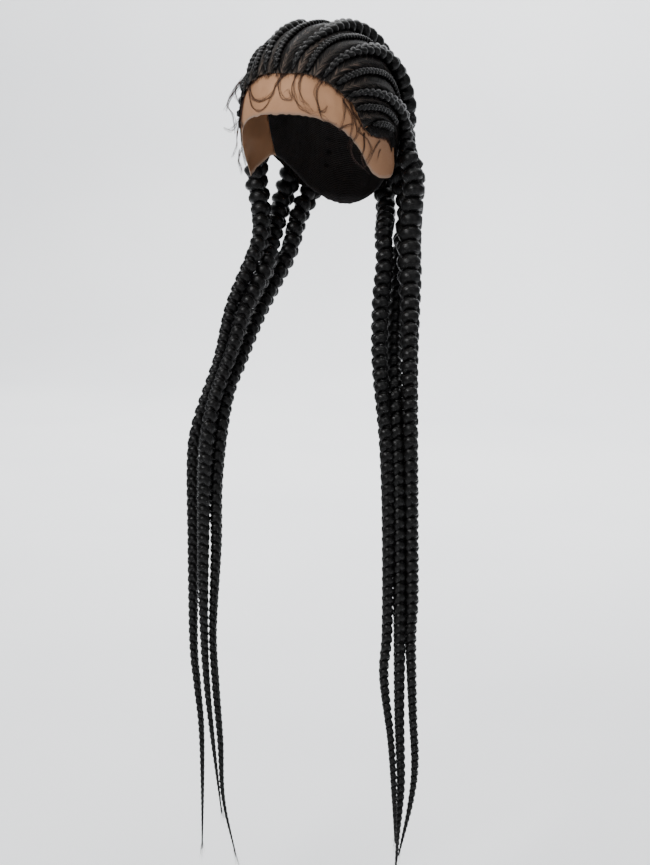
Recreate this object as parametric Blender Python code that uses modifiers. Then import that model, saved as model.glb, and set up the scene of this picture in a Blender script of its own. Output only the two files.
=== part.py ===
"""Cornrow braid wig with a lace front, in metres, +Z up.

The wearer faces -Y and the wearer's left is +X. The origin is the inside of the crown, where
the cap rests on a head. A lace front and a cap back form one thin shell. Six jumbo rows and nine
thin rows of plaited hair lie on it, and each jumbo row goes on as a hanging braid.
"""

import math

import bmesh
import bpy
from mathutils import Vector

# Inside of the cap: one egg-like form, with its widest level below the crown.
HEAD_HALF_WIDTH = 0.076
HEAD_FRONT_DEPTH = 0.104
HEAD_BACK_DEPTH = 0.096
CROWN_RISE = 0.098
NAPE_FALL = 0.125
FORM_FULLNESS = 0.04

# The rows fan out from a line that joins the ears, this far below the crown.
EAR_LINE_DROP = 0.125
NORMAL_NUDGE = 0.0001

# Cap shell.
CAP_THICKNESS = 0.0012
NAPE_DROP = 0.186
CAP_TURN_STEPS = 36
CAP_FALL_STEPS = 8
SEAM_GAP = 0.0004
SEAM_BACK_AT_CROWN = 0.010
SEAM_SLOPE = 0.20
EAR_BULGE = 0.009
EAR_TURN = 90.0
EAR_TURN_SPREAD = 12.0
EAR_BULGE_TOP = 0.110
EAR_BULGE_FADE = 0.030
CUT_NEARNESS = 0.00001

# Plaited hair.
ROW_GAP = 0.0003
JUMBO_WIDTH = 0.0235
JUMBO_GROW_LENGTH = 0.170
THIN_WIDTH = 0.0066
THIN_THICKNESS_SHARE = 0.62
HANGING_THICKNESS_SHARE = 0.94
LOBE_INSET = 0.72
ROW_LOBE_BASE = 0.0055
HANGING_LOBE_BASE = 0.0105
LOBE_PER_WIDTH = 0.42
THIN_LOBE_PITCH = 0.0098
ROW_SIDES = 6
HANGING_SIDES = 5
THIN_SIDES = 4
BRAID_GAP = 0.0003
RIGHT_LIFT_SHARE = 0.25
BLUNT_END_SHARE = 0.55
LAST_STEP_SHARE = 1.5
PARTING_SHIFT = 7.0
PARTING_FADE_START = 45.0
PARTING_FADE_END = 92.0

# Hanging braids: the shares in their tables are of these four sizes.
HANG_DROP = 0.908
HANG_SIDE = 0.125
HANG_FORWARD = 0.060
PATH_STEPS = 14

# Lower edge of the cap by turn: 0 at the forehead, 180 at the nape. Drop is below the crown,
# as a share of NAPE_DROP.
CAP_EDGE_COLUMNS = ("turn", "drop")
CAP_EDGE = [
    (0, 0.452),
    (15, 0.457),
    (30, 0.478),
    (45, 0.527),
    (58, 0.624),
    (68, 0.742),
    (78, 0.801),
    (94, 0.817),
    (106, 0.796),
    (114, 0.747),
    (124, 0.785),
    (140, 0.903),
    (160, 0.978),
    (180, 1.000),
]

# Rows on the head. Back is the angle over the head, from the brow at 0 to the crown at 90.
# Side is the angle from the middle towards the wearer's left ear. Lift is how far a heavy row
# stands off the cap where it starts to hang, as a share of JUMBO_WIDTH.
ROW_COLUMNS = ("back", "side", "lift")
JUMBO_ROWS = {
    1: [
        (41, 3.4, 0),
        (54, 5, 0),
        (66, 8.6, 0),
        (78, 10.6, 0),
        (92, 11.5, 0),
        (112, 14.5, 0),
        (140, 18, 0),
        (168, 19, 0),
        (192, 18, 0),
    ],
    2: [
        (43, 18, 0),
        (56, 21, 0),
        (68, 24.5, 0),
        (84, 28, 0),
        (100, 30.5, 0),
        (120, 35, 0.08),
        (150, 40, 0.08),
        (176, 41, 0.04),
        (198, 38.5, 0.02),
    ],
    3: [
        (38, 29.8, 0),
        (50, 37.8, 0),
        (62, 45, 0),
        (77, 51.4, 0),
        (98, 56.4, 0),
        (124, 57.5, 0.02),
        (150, 60, 0.08),
        (172, 66, 0.22),
        (188, 72, 0.36),
    ],
}
CENTRE_THIN_ROW = [
    (43, -4.5, 0),
    (57, -5.0, 0),
    (72, -3.2, 0),
    (86, -0.6, 0),
    (110, 0, 0),
    (150, 0, 0),
    (184, 0, 0),
]
THIN_ROWS = {
    1: [
        (44, 10.3, 0),
        (58, 12.2, 0),
        (70, 15, 0),
        (82, 18.2, 0),
        (98, 20.6, 0),
        (118, 24.6, 0),
        (138, 29, 0),
    ],
    2: [
        (44.5, 25.2, 0),
        (54.5, 29.5, 0),
        (66, 34, 0),
        (81, 38.8, 0),
        (100, 42.4, 0),
        (120, 45.6, 0),
        (138, 49.4, 0),
    ],
    3: [
        (36.5, 38.4, 0),
        (44, 44.2, 0),
        (56, 51.9, 0),
        (75, 60, 0),
        (98, 65.8, 0),
        (112, 67, 0),
    ],
    4: [
        (39, 56.4, 0),
        (54, 63.6, 0),
        (74, 70.2, 0),
        (85, 72.0, 0),
    ],
}

# How a jumbo row grows: run is a share of JUMBO_GROW_LENGTH, width of JUMBO_WIDTH and
# thickness of the width at that place.
GROWTH_COLUMNS = ("run", "width", "thickness")
JUMBO_GROWTH = [
    (0.00, 0.24, 0.70),
    (0.18, 0.38, 0.74),
    (0.36, 0.54, 0.76),
    (0.55, 0.70, 0.78),
    (0.75, 0.86, 0.84),
    (1.00, 1.00, 0.94),
]

# Hanging braids. Drop, side and back are shares of HANG_DROP, HANG_SIDE and HANG_FORWARD, width
# is a share of JUMBO_WIDTH, and face is the turn that the front of the plait looks towards.
HANGING_COLUMNS = ("drop", "side", "back", "width", "face")
HANGING_BRAIDS = {
    "left_1": [
        (0.208, 0.39, 1.12, 0.90, 120),
        (0.234, 0.50, 0.42, 0.82, 85),
        (0.264, 0.565, 0.13, 0.74, 60),
        (0.310, 0.602, -0.25, 0.65, 40),
        (0.376, 0.680, -0.70, 0.55, 25),
        (0.460, 0.787, -0.97, 0.48, 18),
        (0.553, 0.825, -1.03, 0.44, 15),
        (0.685, 0.822, -1.03, 0.36, 15),
        (0.742, 0.795, -1.03, 0.33, 15),
        (0.820, 0.862, -1.03, 0.27, 15),
        (0.883, 0.899, -1.05, 0.23, 15),
        (0.945, 0.921, -1.10, 0.06, 15),
    ],
    "left_2": [
        (0.206, 0.60, 1.06, 0.95, 130),
        (0.254, 0.585, 0.83, 0.84, 95),
        (0.298, 0.642, 0.37, 0.64, 60),
        (0.358, 0.701, -0.13, 0.58, 35),
        (0.428, 0.818, -0.68, 0.52, 22),
        (0.507, 0.878, -0.87, 0.44, 16),
        (0.650, 0.905, -0.90, 0.39, 15),
        (0.787, 0.913, -0.90, 0.34, 15),
        (0.876, 0.934, -0.90, 0.29, 15),
        (0.942, 0.910, -0.90, 0.17, 15),
        (1.000, 0.886, -0.90, 0.05, 15),
    ],
    "left_3": [
        (0.170, 0.756, 0.50, 1.03, 100),
        (0.200, 0.736, 0.52, 1.04, 95),
        (0.232, 0.726, 0.48, 1.07, 80),
        (0.272, 0.762, 0.28, 1.08, 65),
        (0.310, 0.812, 0.03, 0.86, 45),
        (0.376, 0.900, -0.46, 0.67, 28),
        (0.456, 0.962, -0.73, 0.60, 20),
        (0.585, 0.990, -0.78, 0.56, 15),
        (0.650, 0.998, -0.78, 0.52, 15),
        (0.699, 0.991, -0.78, 0.42, 15),
        (0.788, 1.016, -0.78, 0.33, 15),
        (0.850, 1.040, -0.78, 0.29, 15),
        (0.900, 1.006, -0.78, 0.22, 15),
        (0.970, 0.898, -0.78, 0.06, 15),
    ],
    "right_1": [
        (0.216, 0.420, 1.12, 0.90, 120),
        (0.262, 0.490, 0.93, 0.84, 100),
        (0.299, 0.548, 0.48, 0.74, 80),
        (0.336, 0.592, -0.03, 0.64, 50),
        (0.384, 0.650, -0.50, 0.56, 30),
        (0.430, 0.712, -0.84, 0.54, 22),
        (0.520, 0.765, -1.03, 0.48, 15),
        (0.606, 0.770, -1.07, 0.41, 15),
        (0.712, 0.814, -1.07, 0.32, 15),
        (0.779, 0.794, -1.07, 0.31, 15),
        (0.852, 0.754, -1.07, 0.25, 15),
        (0.927, 0.730, -1.07, 0.15, 15),
        (1.000, 0.610, -1.07, 0.05, 15),
    ],
    "right_2": [
        (0.206, 0.60, 1.10, 0.95, 130),
        (0.248, 0.600, 0.64, 0.88, 95),
        (0.280, 0.552, 0.14, 0.82, 60),
        (0.322, 0.622, -0.35, 0.64, 40),
        (0.370, 0.668, -0.76, 0.53, 28),
        (0.436, 0.780, -1.12, 0.49, 20),
        (0.500, 0.832, -1.25, 0.46, 15),
        (0.624, 0.862, -1.25, 0.41, 15),
        (0.713, 0.870, -1.20, 0.33, 15),
        (0.780, 0.868, -1.12, 0.27, 15),
        (0.853, 0.820, -1.10, 0.18, 15),
        (0.945, 0.741, -1.10, 0.05, 15),
    ],
    "right_3": [
        (0.170, 0.715, 0.50, 1.00, 100),
        (0.205, 0.660, 0.44, 0.93, 90),
        (0.239, 0.600, 0.19, 0.84, 70),
        (0.266, 0.625, -0.06, 0.74, 60),
        (0.322, 0.762, -0.33, 0.60, 40),
        (0.385, 0.815, -0.67, 0.52, 28),
        (0.458, 0.964, -0.90, 0.53, 20),
        (0.507, 1.010, -0.97, 0.51, 15),
        (0.610, 1.012, -1.00, 0.47, 15),
        (0.730, 1.023, -1.00, 0.35, 15),
        (0.785, 0.993, -1.00, 0.30, 15),
        (0.840, 0.958, -1.00, 0.24, 15),
        (0.914, 0.954, -1.00, 0.15, 15),
        (1.000, 0.965, -1.00, 0.05, 15),
    ],
}

HAIR_BLACK = (0.012, 0.011, 0.012, 1.0)
HAIR_ROUGHNESS = 0.45
LACE_SKIN = (0.62, 0.42, 0.30, 1.0)
CAP_BLACK = (0.02, 0.018, 0.018, 1.0)
CAP_ROUGHNESS = 0.7


def clear_scene():
    for held in list(bpy.data.objects):
        bpy.data.objects.remove(held, do_unlink=True)


def between(table, at, column):
    """The value in this column at a place in the table's first column, on straight lines."""
    rows = sorted(table)
    if at <= rows[0][0]:
        return rows[0][column]
    for low, high in zip(rows, rows[1:]):
        if at <= high[0]:
            share = (at - low[0]) / (high[0] - low[0])
            return low[column] + share * (high[column] - low[column])
    return rows[-1][column]


def ease(value):
    """Goes smoothly from 0 to 1 as the value does, and stays there outside."""
    held = min(1.0, max(0.0, value))
    return held * held * (3.0 - 2.0 * held)


def radii_at(back, up):
    """The half sizes of the head form on the side of its centre that a point lies."""
    depth = HEAD_BACK_DEPTH if back > 0 else HEAD_FRONT_DEPTH
    height = CROWN_RISE if up > 0 else NAPE_FALL
    return HEAD_HALF_WIDTH, depth, height


def fullness_at(share_up):
    """How far the form swells over a plain egg shape, at this share of its height."""
    held = max(0.0, share_up) ** 2
    return 1.0 + FORM_FULLNESS * 4.0 * held * (1.0 - held)


def made_fuller(point):
    """Moves a point of the plain egg shape out onto the fuller head form."""
    centre = Vector((0, 0, -CROWN_RISE))
    return centre + (point - centre) * fullness_at((point.z + CROWN_RISE) / CROWN_RISE)


def form_value(point):
    """Zero on the head form, and above zero outside it."""
    up = point.z + CROWN_RISE
    wide, deep, high = radii_at(point.y, up)
    reach = math.sqrt((point.x / wide) ** 2 + (point.y / deep) ** 2 + (up / high) ** 2)
    return reach - fullness_at(up / high / reach)


def head_normal(point):
    slopes = []
    for axis in range(3):
        nudge = Vector((0, 0, 0))
        nudge[axis] = NORMAL_NUDGE
        slopes.append(form_value(point + nudge) - form_value(point - nudge))
    return Vector(slopes).normalized()


def head_point(back, side):
    """Where a line from the middle of the ear line, at these two angles, meets the head form."""
    back_turn = math.radians(back)
    side_turn = math.radians(side)
    heading = Vector((
        math.sin(side_turn),
        -math.cos(side_turn) * math.cos(back_turn),
        math.cos(side_turn) * math.sin(back_turn),
    ))
    start = CROWN_RISE - EAR_LINE_DROP
    for upper in (1, -1):
        wide, deep, high = radii_at(heading.y, upper)
        square = (heading.x / wide) ** 2 + (heading.y / deep) ** 2 + (heading.z / high) ** 2
        cross = heading.z * start / high**2
        rest = (start / high) ** 2 - 1.0
        reach = (-cross + math.sqrt(cross**2 - square * rest)) / square
        found = heading * reach + Vector((0, 0, -EAR_LINE_DROP))
        if (found.z + CROWN_RISE) * upper >= 0:
            break
    return made_fuller(found)


def smooth_path(points, steps):
    """A curve through all the points, with the points between two of them evenly spaced."""
    before = points[0] * 2 - points[1]
    after = points[-1] * 2 - points[-2]
    held = [before] + list(points) + [after]
    curve = []
    for index in range(1, len(held) - 2):
        one, two, three, four = held[index - 1:index + 3]
        for step in range(steps):
            at = step / steps
            curve.append(0.5 * (
                two * 2
                + (three - one) * at
                + (one * 2 - two * 5 + three * 4 - four) * at**2
                + (two * 3 - one - three * 3 + four) * at**3
            ))
    curve.append(points[-1].copy())
    return curve


def runs_of(curve):
    """The distance along the curve of each of its points."""
    runs = [0.0]
    for one, two in zip(curve, curve[1:]):
        runs.append(runs[-1] + (two - one).length)
    return runs


def at_run(curve, runs, run):
    """The point this far along the curve, and the heading there."""
    for index in range(len(runs) - 1):
        if run <= runs[index + 1] or index == len(runs) - 2:
            span = runs[index + 1] - runs[index]
            share = (run - runs[index]) / span
            break
    heading = (curve[index + 1] - curve[index]).normalized()
    return curve[index].lerp(curve[index + 1], share), heading


def new_material(name, colour, roughness):
    material = bpy.data.materials.new(name)
    material.use_nodes = True
    shader = material.node_tree.nodes["Principled BSDF"]
    shader.inputs["Base Color"].default_value = colour
    shader.inputs["Roughness"].default_value = roughness
    return material


def new_object(name, mesh, collection, colour, roughness):
    made = bpy.data.objects.new(name, mesh)
    collection.objects.link(made)
    mesh.materials.append(new_material(name, colour, roughness))
    return made


def plait_object(name, rings, collection):
    """A closed solid through rings of points, with a flat face at each end."""
    shape = bmesh.new()
    placed = [[shape.verts.new(point) for point in ring] for ring in rings]
    sides = len(rings[0])
    for one, two in zip(placed, placed[1:]):
        for index in range(sides):
            after = (index + 1) % sides
            shape.faces.new((one[index], one[after], two[after], two[index]))
    shape.faces.new(list(reversed(placed[0])))
    shape.faces.new(placed[-1])
    bmesh.ops.recalc_face_normals(shape, faces=shape.faces)
    mesh = bpy.data.meshes.new(name)
    shape.to_mesh(mesh)
    shape.free()
    mesh.shade_smooth()
    return new_object(name, mesh, collection, HAIR_BLACK, HAIR_ROUGHNESS)


def plait_ring(centre, heading, facing, wide, thick, sides, lobe):
    """One ring of a plait. Lobe is 1 where the plait swells to its left, -1 to its right."""
    across = heading.cross(facing).normalized()
    front = across.cross(heading).normalized()
    ring = []
    for index in range(sides):
        turn = 2.0 * math.pi * index / sides + (math.pi / 2 if sides % 2 else 0.0)
        reach = math.cos(turn)
        inset = 1.0 if reach * lobe >= 0 else LOBE_INSET
        ring.append(centre + across * (reach * wide / 2 * inset) + front * (math.sin(turn) * thick / 2))
    return ring


def bottom_share(sides):
    """How far the lowest points of a plait ring lie below its centre, as a share of half its thickness."""
    return max(math.sin(2.0 * math.pi * index / sides) for index in range(sides))


def row_path(table, side, shifted):
    """The line of a row on the head form from the hairline to the nape, and its lift there."""
    curve = []
    lifts = []
    hand_share = 1.0 if side > 0 else RIGHT_LIFT_SHARE
    for point in smooth_path([Vector(row) for row in table], PATH_STEPS):
        place = dict(zip(ROW_COLUMNS, point))
        faded = (place["back"] - PARTING_FADE_START) / (PARTING_FADE_END - PARTING_FADE_START)
        shift = PARTING_SHIFT * (1.0 - ease(faded)) if shifted else 0.0
        curve.append(head_point(place["back"], side * place["side"] - shift))
        lifts.append(max(0.0, place["lift"]) * hand_share * JUMBO_WIDTH)
    return curve, lifts


def row_rings(curve, lifts, size_at, pitch_of, sides):
    """The rings of a row that rests on the cap, and the point, heading and normal at its end."""
    runs = runs_of(curve)
    rises = list(zip(runs, lifts))
    rings = []
    run = 0.0
    lobe = 1
    while True:
        width, thick = size_at(run)
        on_head, heading = at_run(curve, runs, run)
        normal = head_normal(on_head)
        height = CAP_THICKNESS + ROW_GAP + thick / 2 * bottom_share(sides) + between(rises, run, 1)
        centre = on_head + normal * height
        if run == 0.0:
            width *= BLUNT_END_SHARE
        rings.append(plait_ring(centre, heading, normal, width, thick, sides, lobe))
        if run >= runs[-1]:
            return rings, centre, heading, normal
        lobe = -lobe
        step = pitch_of(width) / 2
        left = runs[-1] - run
        run = runs[-1] if left < LAST_STEP_SHARE * step else run + step


def jumbo_size(run):
    share = run / JUMBO_GROW_LENGTH
    width = JUMBO_WIDTH * between(JUMBO_GROWTH, share, GROWTH_COLUMNS.index("width"))
    return width, width * between(JUMBO_GROWTH, share, GROWTH_COLUMNS.index("thickness"))


def thin_size(run):
    return THIN_WIDTH, THIN_WIDTH * THIN_THICKNESS_SHARE


def jumbo_pitch(width):
    return ROW_LOBE_BASE + LOBE_PER_WIDTH * width


def thin_pitch(width):
    return THIN_LOBE_PITCH


def hanging_rings(table, side, start, heading, normal):
    """The rings of a braid that goes on from the end of a row and hangs to its tip."""
    places = [dict(zip(HANGING_COLUMNS, row)) for row in table]
    points = [start + heading * BRAID_GAP]
    for place in places:
        out = side * place["side"] * HANG_SIDE
        points.append(Vector((out, place["back"] * HANG_FORWARD, -place["drop"] * HANG_DROP)))
    curve = smooth_path(points, PATH_STEPS)
    runs = runs_of(curve)
    widths = [(0.0, 1.0)]
    faces = [(0.0, math.degrees(math.atan2(abs(normal.x), -normal.y)))]
    for place, run in zip(places, runs[PATH_STEPS::PATH_STEPS]):
        widths.append((run, place["width"]))
        faces.append((run, place["face"]))
    rings = []
    run = 0.0
    lobe = 1
    while True:
        centre, along = at_run(curve, runs, run)
        along = heading.lerp(along, ease(run / JUMBO_WIDTH)).normalized()
        width = JUMBO_WIDTH * between(widths, run, 1)
        thick = width * HANGING_THICKNESS_SHARE
        turn = math.radians(between(faces, run, 1))
        facing = Vector((side * math.sin(turn), -math.cos(turn), 0.0))
        facing = normal.lerp(facing, ease(run / JUMBO_WIDTH)).normalized()
        rings.append(plait_ring(centre, along, facing, width, thick, HANGING_SIDES, lobe))
        if run >= runs[-1]:
            return rings
        lobe = -lobe
        step = (HANGING_LOBE_BASE + LOBE_PER_WIDTH * width) / 2
        left = runs[-1] - run
        run = runs[-1] if left < LAST_STEP_SHARE * step else run + step


def folded_turn(turn):
    """The same turn counted from the forehead on either side, 0 to 180."""
    return abs((turn + 180.0) % 360.0 - 180.0)


def edge_drop(turn):
    return between(CAP_EDGE, folded_turn(turn), CAP_EDGE_COLUMNS.index("drop")) * NAPE_DROP


def cap_point(turn, share):
    """A point inside the cap: turn goes round the head, share from the crown to the edge."""
    drop = edge_drop(turn)
    low = drop - CROWN_RISE
    if low > 0:
        edge_fall = math.pi / 2 + math.asin(min(1.0, low / NAPE_FALL))
    else:
        edge_fall = math.acos(-low / CROWN_RISE)
    fall = edge_fall * share
    height = (CROWN_RISE if fall < math.pi / 2 else NAPE_FALL) * math.cos(fall)
    turned = math.radians(turn)
    depth = HEAD_FRONT_DEPTH if math.cos(turned) > 0 else HEAD_BACK_DEPTH
    point = Vector((
        HEAD_HALF_WIDTH * math.sin(fall) * math.sin(turned),
        -depth * math.sin(fall) * math.cos(turned),
        height - CROWN_RISE,
    ))
    point = made_fuller(point)
    swell = math.exp(-((folded_turn(turn) - EAR_TURN) / EAR_TURN_SPREAD) ** 2)
    swell *= ease((-point.z - EAR_BULGE_TOP) / EAR_BULGE_FADE)
    return point + head_normal(point) * (EAR_BULGE * swell)


def cap_sheet():
    """The whole inner face of the cap, from the crown to its lower edge."""
    shape = bmesh.new()
    crown = shape.verts.new((0, 0, 0))
    rings = []
    for fall_step in range(1, CAP_FALL_STEPS + 1):
        share = fall_step / CAP_FALL_STEPS
        rings.append([
            shape.verts.new(cap_point(360.0 * turn_step / CAP_TURN_STEPS, share))
            for turn_step in range(CAP_TURN_STEPS)
        ])
    for index in range(CAP_TURN_STEPS):
        after = (index + 1) % CAP_TURN_STEPS
        shape.faces.new((crown, rings[0][index], rings[0][after]))
        for inner, outer in zip(rings, rings[1:]):
            shape.faces.new((inner[index], outer[index], outer[after], inner[after]))
    return shape


def cap_piece(name, keep_front, collection, colour):
    """The lace front or the cap back: one side of the seam plane, thickened outwards."""
    shape = cap_sheet()
    away = Vector((0, 1, SEAM_SLOPE)).normalized()
    offset = SEAM_GAP / 2 * (-1 if keep_front else 1)
    on_plane = Vector((0, SEAM_BACK_AT_CROWN, 0)) + away * offset
    bmesh.ops.bisect_plane(
        shape,
        geom=shape.verts[:] + shape.edges[:] + shape.faces[:],
        dist=CUT_NEARNESS,
        plane_co=on_plane,
        plane_no=away,
        clear_outer=keep_front,
        clear_inner=not keep_front,
    )
    for face in shape.faces:
        if face.normal.dot(face.calc_center_median() + Vector((0, 0, CROWN_RISE))) < 0:
            face.normal_flip()
    mesh = bpy.data.meshes.new(name)
    shape.to_mesh(mesh)
    shape.free()
    mesh.shade_smooth()
    made = new_object(name, mesh, collection, colour, CAP_ROUGHNESS)
    shell = made.modifiers.new("Shell", "SOLIDIFY")
    shell.thickness = CAP_THICKNESS
    shell.offset = 1.0
    shell.use_even_offset = True
    return made


def build_jumbo(number, side, collection):
    """A jumbo row on the head and the braid that hangs from it."""
    hand = "left" if side > 0 else "right"
    curve, lifts = row_path(JUMBO_ROWS[number], side, side < 0)
    rings, end, heading, normal = row_rings(curve, lifts, jumbo_size, jumbo_pitch, ROW_SIDES)
    plait_object(f"jumbo_row_{hand}_{number}", rings, collection)
    table = HANGING_BRAIDS[f"{hand}_{number}"]
    hanging = hanging_rings(table, side, end, heading, normal)
    plait_object(f"hanging_braid_{hand}_{number}", hanging, collection)


def build_thin(name, table, side, collection):
    curve, lifts = row_path(table, side, side < 0)
    rings = row_rings(curve, lifts, thin_size, thin_pitch, THIN_SIDES)[0]
    plait_object(name, rings, collection)


def main():
    clear_scene()
    collection = bpy.data.collections.new("braid_wig")
    bpy.context.scene.collection.children.link(collection)
    cap_piece("lace_front", True, collection, LACE_SKIN)
    cap_piece("cap_back", False, collection, CAP_BLACK)
    for side in (1, -1):
        for number in JUMBO_ROWS:
            build_jumbo(number, side, collection)
        for number, table in THIN_ROWS.items():
            hand = "left" if side > 0 else "right"
            build_thin(f"thin_row_{hand}_{number}", table, side, collection)
    build_thin("thin_row_centre", CENTRE_THIN_ROW, 1, collection)


main()
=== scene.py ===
"""Looks of the braid wig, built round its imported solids, in metres.

The wig opens towards -Y at the forehead and its left side is +X. Each jumbo row and the braid that
hangs from it is one three-strand plait, and so is each thin row. Hair is pulled from the partings
into the rows, and lies on a lace front and a net cap. Fine loose hairs, the floor, the light and the
camera come last. The head form and the lines of the rows and braids are those of the part's own
source, and the comments on the tables say where a size differs.
"""

import math
import random

import bmesh
import bpy
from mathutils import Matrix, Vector


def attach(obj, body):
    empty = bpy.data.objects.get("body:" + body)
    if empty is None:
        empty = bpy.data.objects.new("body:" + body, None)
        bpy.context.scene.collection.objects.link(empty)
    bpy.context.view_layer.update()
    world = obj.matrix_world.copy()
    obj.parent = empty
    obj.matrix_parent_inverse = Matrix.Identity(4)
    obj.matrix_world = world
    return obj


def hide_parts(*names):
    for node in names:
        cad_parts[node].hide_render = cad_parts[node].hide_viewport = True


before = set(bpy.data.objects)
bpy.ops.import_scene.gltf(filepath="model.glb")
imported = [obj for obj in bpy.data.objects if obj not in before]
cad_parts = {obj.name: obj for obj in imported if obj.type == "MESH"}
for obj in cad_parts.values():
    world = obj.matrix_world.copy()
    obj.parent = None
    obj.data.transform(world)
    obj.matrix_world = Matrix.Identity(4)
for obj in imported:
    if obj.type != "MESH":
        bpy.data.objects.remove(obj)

# Head form inside the cap: one egg-like form, with its widest level below the crown.
HEAD_HALF_WIDTH = 0.076
HEAD_FRONT_DEPTH = 0.104
HEAD_BACK_DEPTH = 0.096
CROWN_RISE = 0.098
NAPE_FALL = 0.125
FORM_FULLNESS = 0.04
EAR_LINE_DROP = 0.125
NORMAL_NUDGE = 0.0001

# Cap: lace in front of a sloping seam, dark net behind it.
CAP_THICKNESS = 0.0012
CLOTH_THICKNESS = 0.0006
NAPE_DROP = 0.186
CAP_TURN_STEPS = 144
CAP_FALL_STEPS = 56
SEAM_BACK_AT_CROWN = 0.010
SEAM_SLOPE = 0.20
EAR_BULGE = 0.009
EAR_TURN = 90.0
EAR_TURN_SPREAD = 12.0
EAR_BULGE_TOP = 0.110
EAR_BULGE_FADE = 0.030
EDGE_WAVE = 0.0005
EDGE_WAVE_FALL = 12

# Plaited hair. A lobe comes at each edge of a plait once in every pitch. The thin rows are 1.2 mm
# wider than their solids, and thicker.
ROW_GAP = 0.0003
ROW_START_SHARE = 0.55
ROW_START_REACH = 0.010
ROW_START_BACK = 1.6
JUMBO_WIDTH = 0.0235
JUMBO_GROW_LENGTH = 0.170
THIN_WIDTH = 0.0078
LOBE_BASE = 0.0052
LOBE_PER_WIDTH = 0.42
THIN_LOBE_PITCH = 0.0056
THIN_THICKNESS_SHARE = 0.82
HANGING_THICKNESS_SHARE = 0.94
STEPS_PER_TURN = 24
PLAIT_FACTS = ("phase", "width", "thickness", "across", "front", "ahead", "slide", "arch")
STRANDS = 3
PARTING_SHIFT = 7.0
PARTING_FADE_START = 45.0
PARTING_FADE_END = 92.0
RIGHT_LIFT_SHARE = 0.25
JOIN_SMOOTH_REACH = 0.025
JOIN_SMOOTH_ROUNDS = 40

# Hanging braids: the shares in their tables are of these three sizes.
HANG_DROP = 0.908
HANG_SIDE = 0.125
HANG_FORWARD = 0.060
PATH_STEPS = 14

# Cap cloth details.
SEAM_GAP = 0.0004
CLOTH_SEEDS = {True: 7, False: 8}
EDGE_ROUNDING = (-5.0, -2.5, 0.0, 2.5, 5.0)
EDGE_SHADE = 0.0022
CLOTH_ROUND = 0.56
CLOTH_DOWN = 0.22
FOLD_COLUMNS = ("turn", "top", "bottom", "lean", "spread", "height")
LACE_FOLDS = [
    (36, 0.72, 1.02, 6, 1.6, 0.0011),
    (43, 0.70, 1.02, 8, 1.3, 0.0008),
    (62, 0.74, 1.02, 5, 1.5, 0.0009),
    (-38, 0.74, 1.02, -5, 1.6, 0.0009),
]

# The three strands of a plait, as shares of its width. A wide plait dwells at its edges. Below the
# two heights a plait is pinched between its lobes, and its strands arch downwards.
PLAIT_SIDE_REACH = 0.205
PLAIT_CROSSING = 1.1
PLAIT_DWELL = 0.75
DWELL_FROM_WIDTH = 0.0060
DWELL_WIDTH_REACH = 0.0050
DWELL_END_HEIGHT = -0.20
PINCH = 0.38
PINCH_MIDDLE = 0.6
PINCH_ROUNDNESS = 0.7
PINCH_START_HEIGHT = -0.06
PINCH_FADE = 0.06
ARCH_HEIGHT = -0.38
ARCH_HIGH = 0.10
ARCH_LOW = 0.36
PLAIT_STRAND_RADIUS = 0.265
PLAIT_EDGE_SWELL = 0.10
JUMBO_SIDES = 12
THIN_SIDES = 8

# Hair pulled between the rows. Angles are in degrees over the head. Past its start a row's line
# runs on with the slope of its first steps.
LINE_COLUMNS = ("back", "side", "width")
SLOPE_STEPS = 4
PULLED_SEEDS = {"left": 11, "right": 12}
WAY_NUDGE = 0.01
HAIR_GAP = 0.00025
HAIR_RISE = 0.0019
HAIR_RISE_PER_WIDTH = 0.13
HAIR_BULGE = 0.7
CROWN_LIFT = 0.0030
CROWN_LIFT_SIDE = 9.0
CROWN_LIFT_START = 58.0
CROWN_LIFT_FADE = 26.0
HAIRLINE_TRIES = 6
HAIRLINE_RAGGED = 0.5
NAPE_BACK = 214.0
NAPE_BACK_LEAST = 150.0
NAPE_HAIR_MARGIN = 0.004
HAIR_FLOW = 11.0
DEGREE_LENGTH = 0.0019
BAND_COLUMNS = 18
BAND_ROWS = 90
BAND_ROW_CROWDING = 1.25
BAND_STRIPE_SHIFT = 0.37
# The parting is a broad lighter band: partly scalp seen through the hair, partly painted highlight on the
# bulging hair between the rows, fading back over the head.
PARTING_HALF_WIDTH = 0.0048
PARTING_SHARE = 0.74
PARTING_SHADE = 0.25
PARTING_LENGTH = 0.070
HAIRLINE_FADE = 0.0022
EDGE_SCALP_SHARE = 0.6
PULLED_STEP = 0.55
PULLED_STEP_BACK = 2.2
PULLED_CLOSE_END = 100.0
PULLED_HAIR_RISE = 0.0003
PULLED_HAIR_RADIUS = 0.00008
PULLED_ROOTS = (0.02, 0.22)
PULLED_SHARES = (0.0, 0.3, 0.65, 1.0)
PULLED_REACH = 0.97
PULLED_JITTER = 0.25
PULLED_START_GAP = 0.1

# Loose hairs. A taper is the share of the radius at the root, and how much of it is lost by the tip.
# A spread is how many hairs go with one line, how far they part from it in metres, and which share
# of that they part at the root.
HAIR_SIDES = 3
TAPERS = {
    "single": (0.6, -0.4),
    "loop": (1.0, 0.7),
    "fuzz": (0.9, 0.6),
    "tip": (1.1, 0.8),
    "stray": (1.0, 0.6),
}
SPREAD_INPUTS = ("Hairs Each", "Spread", "Root Spread")
SPREADS = {
    "single": (2, 0.0005, 1.0),
    "loop": (4, 0.0007, 0.8),
    "fuzz": (2, 0.0005, 1.0),
    "tip": (2, 0.0012, 0.3),
    "stray": (1, 0.0006, 0.3),
}
LOOP_SEED = 5
LOOP_STEPS = 8
SHORT_LOOP = 4
LOOP_LOCKS = 4
LOOP_LOOSENESS = 1.1
WISP_LOOSENESS = 0.0018
FUZZ_SEED = 6
FUZZ_HAIRS = 900
FUZZ_LENGTHS = (0.5, 1.0)
FUZZ_SHARES = (0.0, 0.5, 1.0)
FUZZ_SIDE = 72.0
FUZZ_REACH = 3.2
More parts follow.
